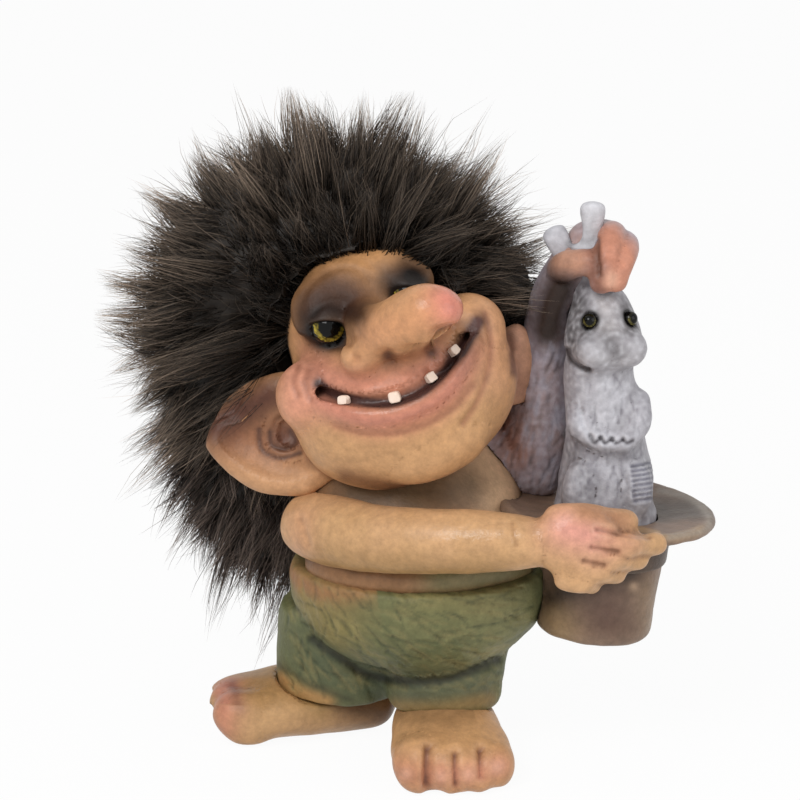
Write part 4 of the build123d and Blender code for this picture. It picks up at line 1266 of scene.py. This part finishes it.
def plant_all(node, pieces, *hairs):
    """Plants hairs in the place of a fur solid, shared out over a few pieces."""
    for number in range(pieces):
        share = [values[number::pieces] for values in hairs]
        plant(f"{node}_fur_{number + 1}", node, *share)


# %% Wig
WIG_DEPTH = 41 * MM
WIG_HAIRS = 35000
WIG_PIECES = 4
WIG_TUFTS = 430
WIG_TONE = (84, 73, 63)
WIG_SINK = 1.5
WIG_TRIM = (0.6, 1.1)
LONGEST_HAIR = 38 * MM
SHORTEST_HAIR = 7 * MM
FAN_MIDDLE = np.array(aim) + np.array((-14, 4, 20)) * MM
FAN_REACH = 68 * MM
FAN_SAG = np.array((0, 0, -0.08))
FRINGE_HAIRS = 2400
FRINGE_RANGE = (9, 20)
HAIRLINE = [(284, 342), (287, 304), (303, 271), (334, 253), (374, 247), (408, 251), (430, 267), (440, 284)]
FACE_PIXEL = (372, 312)

wig_low, wig_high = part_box("wig")
wig_middle = np.array([(wig_low.x + wig_high.x) / 2, wig_high.y - WIG_DEPTH, (wig_low.z + wig_high.z) / 2])
wig_radii = np.array([(wig_high.x - wig_low.x) / 2, WIG_DEPTH, (wig_high.z - wig_low.z) / 2])


def reach_of_wig(points, directions, proud):
    """How far it is from points inside the wig to a shell that stands proud of it."""
    p = (points - wig_middle) / (wig_radii + proud)
    d = directions / (wig_radii + proud)
    a = np.sum(d * d, axis=1)
    b = np.sum(p * d, axis=1)
    c = np.sum(p * p, axis=1) - 1
    return (-b + np.sqrt(np.maximum(b * b - a * c, 0))) / a


coat = undercoat("wig", 4.8, 30)
part_from_face(coat)
away = (1 - 0.5 * coat.touches("head", 1.2)) * ~over_face(coat.points, 0.9)
roots, normals = sown(coat, away, WIG_HAIRS, WIG_SINK)
fan = unit(roots - FAN_MIDDLE)
lean = unit(fan + 0.35 * normals + 0.16 * fur_rng.normal(size=fan.shape) + FAN_SAG)
length = np.minimum(reach_of_wig(roots, lean, PROUD), LONGEST_HAIR) * fur_rng.uniform(*WIG_TRIM, WIG_HAIRS)
length = np.maximum(length, SHORTEST_HAIR)
hairline = head.stroke(HAIRLINE, 1.6)
fringe = fur_rng.choice(len(head.points), FRINGE_HAIRS, p=hairline / hairline.sum())
swept = unit((head.pixels[fringe] - FACE_PIXEL) @ np.array((view_right, -view_up)))
swept += -0.3 * np.array(look) + 0.22 * fur_rng.normal(size=swept.shape)
roots = np.concatenate([roots, head.points[fringe] - 0.5 * MM * head.normals[fringe]])
lean = np.concatenate([lean, swept])
length = np.concatenate([length, fur_rng.uniform(*FRINGE_RANGE, FRINGE_HAIRS) * MM])
tips, bends, tones = combed(roots, lean, length, WIG_TUFTS, WIG_TONE)
# The wig's hairs are lighter towards the edge of the fan and darker near the face: partly painted light on
# the outer hairs and painted shade inside the fur.
spread_out = np.linalg.norm(tips - FAN_MIDDLE, axis=1, keepdims=True) / FAN_REACH
tones *= np.clip(1.5 * spread_out ** 4, 0.3, 2.0)
clear = ~(over_face(tips, 0.85) | over_face((roots + tips) / 2 + bends, 0.85))
coat.done(dark_fur, "fur")
plant_all("wig", WIG_PIECES, roots[clear], tips[clear], bends[clear], tones[clear])

# %% Mane
MANE_HAIRS = 14000
MANE_PIECES = 2
MANE_TUFTS = 230
MANE_TONE = (84, 73, 66)
MANE_SINK = 1.0
MANE_RANGE = (12, 24)
MANE_FALL = np.array((-0.45, 0.1, -1.0))
MANE_HEM = 40
HEM_LIFT = 0.35

coat = undercoat("mane", 1.5, 33)
mane_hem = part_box("mane")[0].z + MANE_HEM * MM
below = np.minimum(coat.points[:, 2] - mane_hem, 0)
coat.points[:, 2] -= HEM_LIFT * below
coat.settle()
away = 1 - np.clip(coat.touches("torso", 2.0) + coat.touches("trousers", 2.0), 0, 1)
roots, normals = sown(coat, away, MANE_HAIRS, MANE_SINK)
lean = unit(MANE_FALL + 0.75 * normals + 0.2 * fur_rng.normal(size=roots.shape))
length = fur_rng.uniform(*MANE_RANGE, MANE_HAIRS) * MM
tips, bends, tones = combed(roots, lean, length, MANE_TUFTS, MANE_TONE)
coat.done(dark_fur, "fur")
plant_all("mane", MANE_PIECES, roots, tips, bends, tones)

# %% [markdown]
# ## Size
# The dressed figure has to stay within the solids' box, apart from what fur may stand proud.

# %% Size
low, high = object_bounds()
print("grown mm", [round(v / MM, 1) for v in cad_low - low], [round(v / MM, 1) for v in high - cad_high])
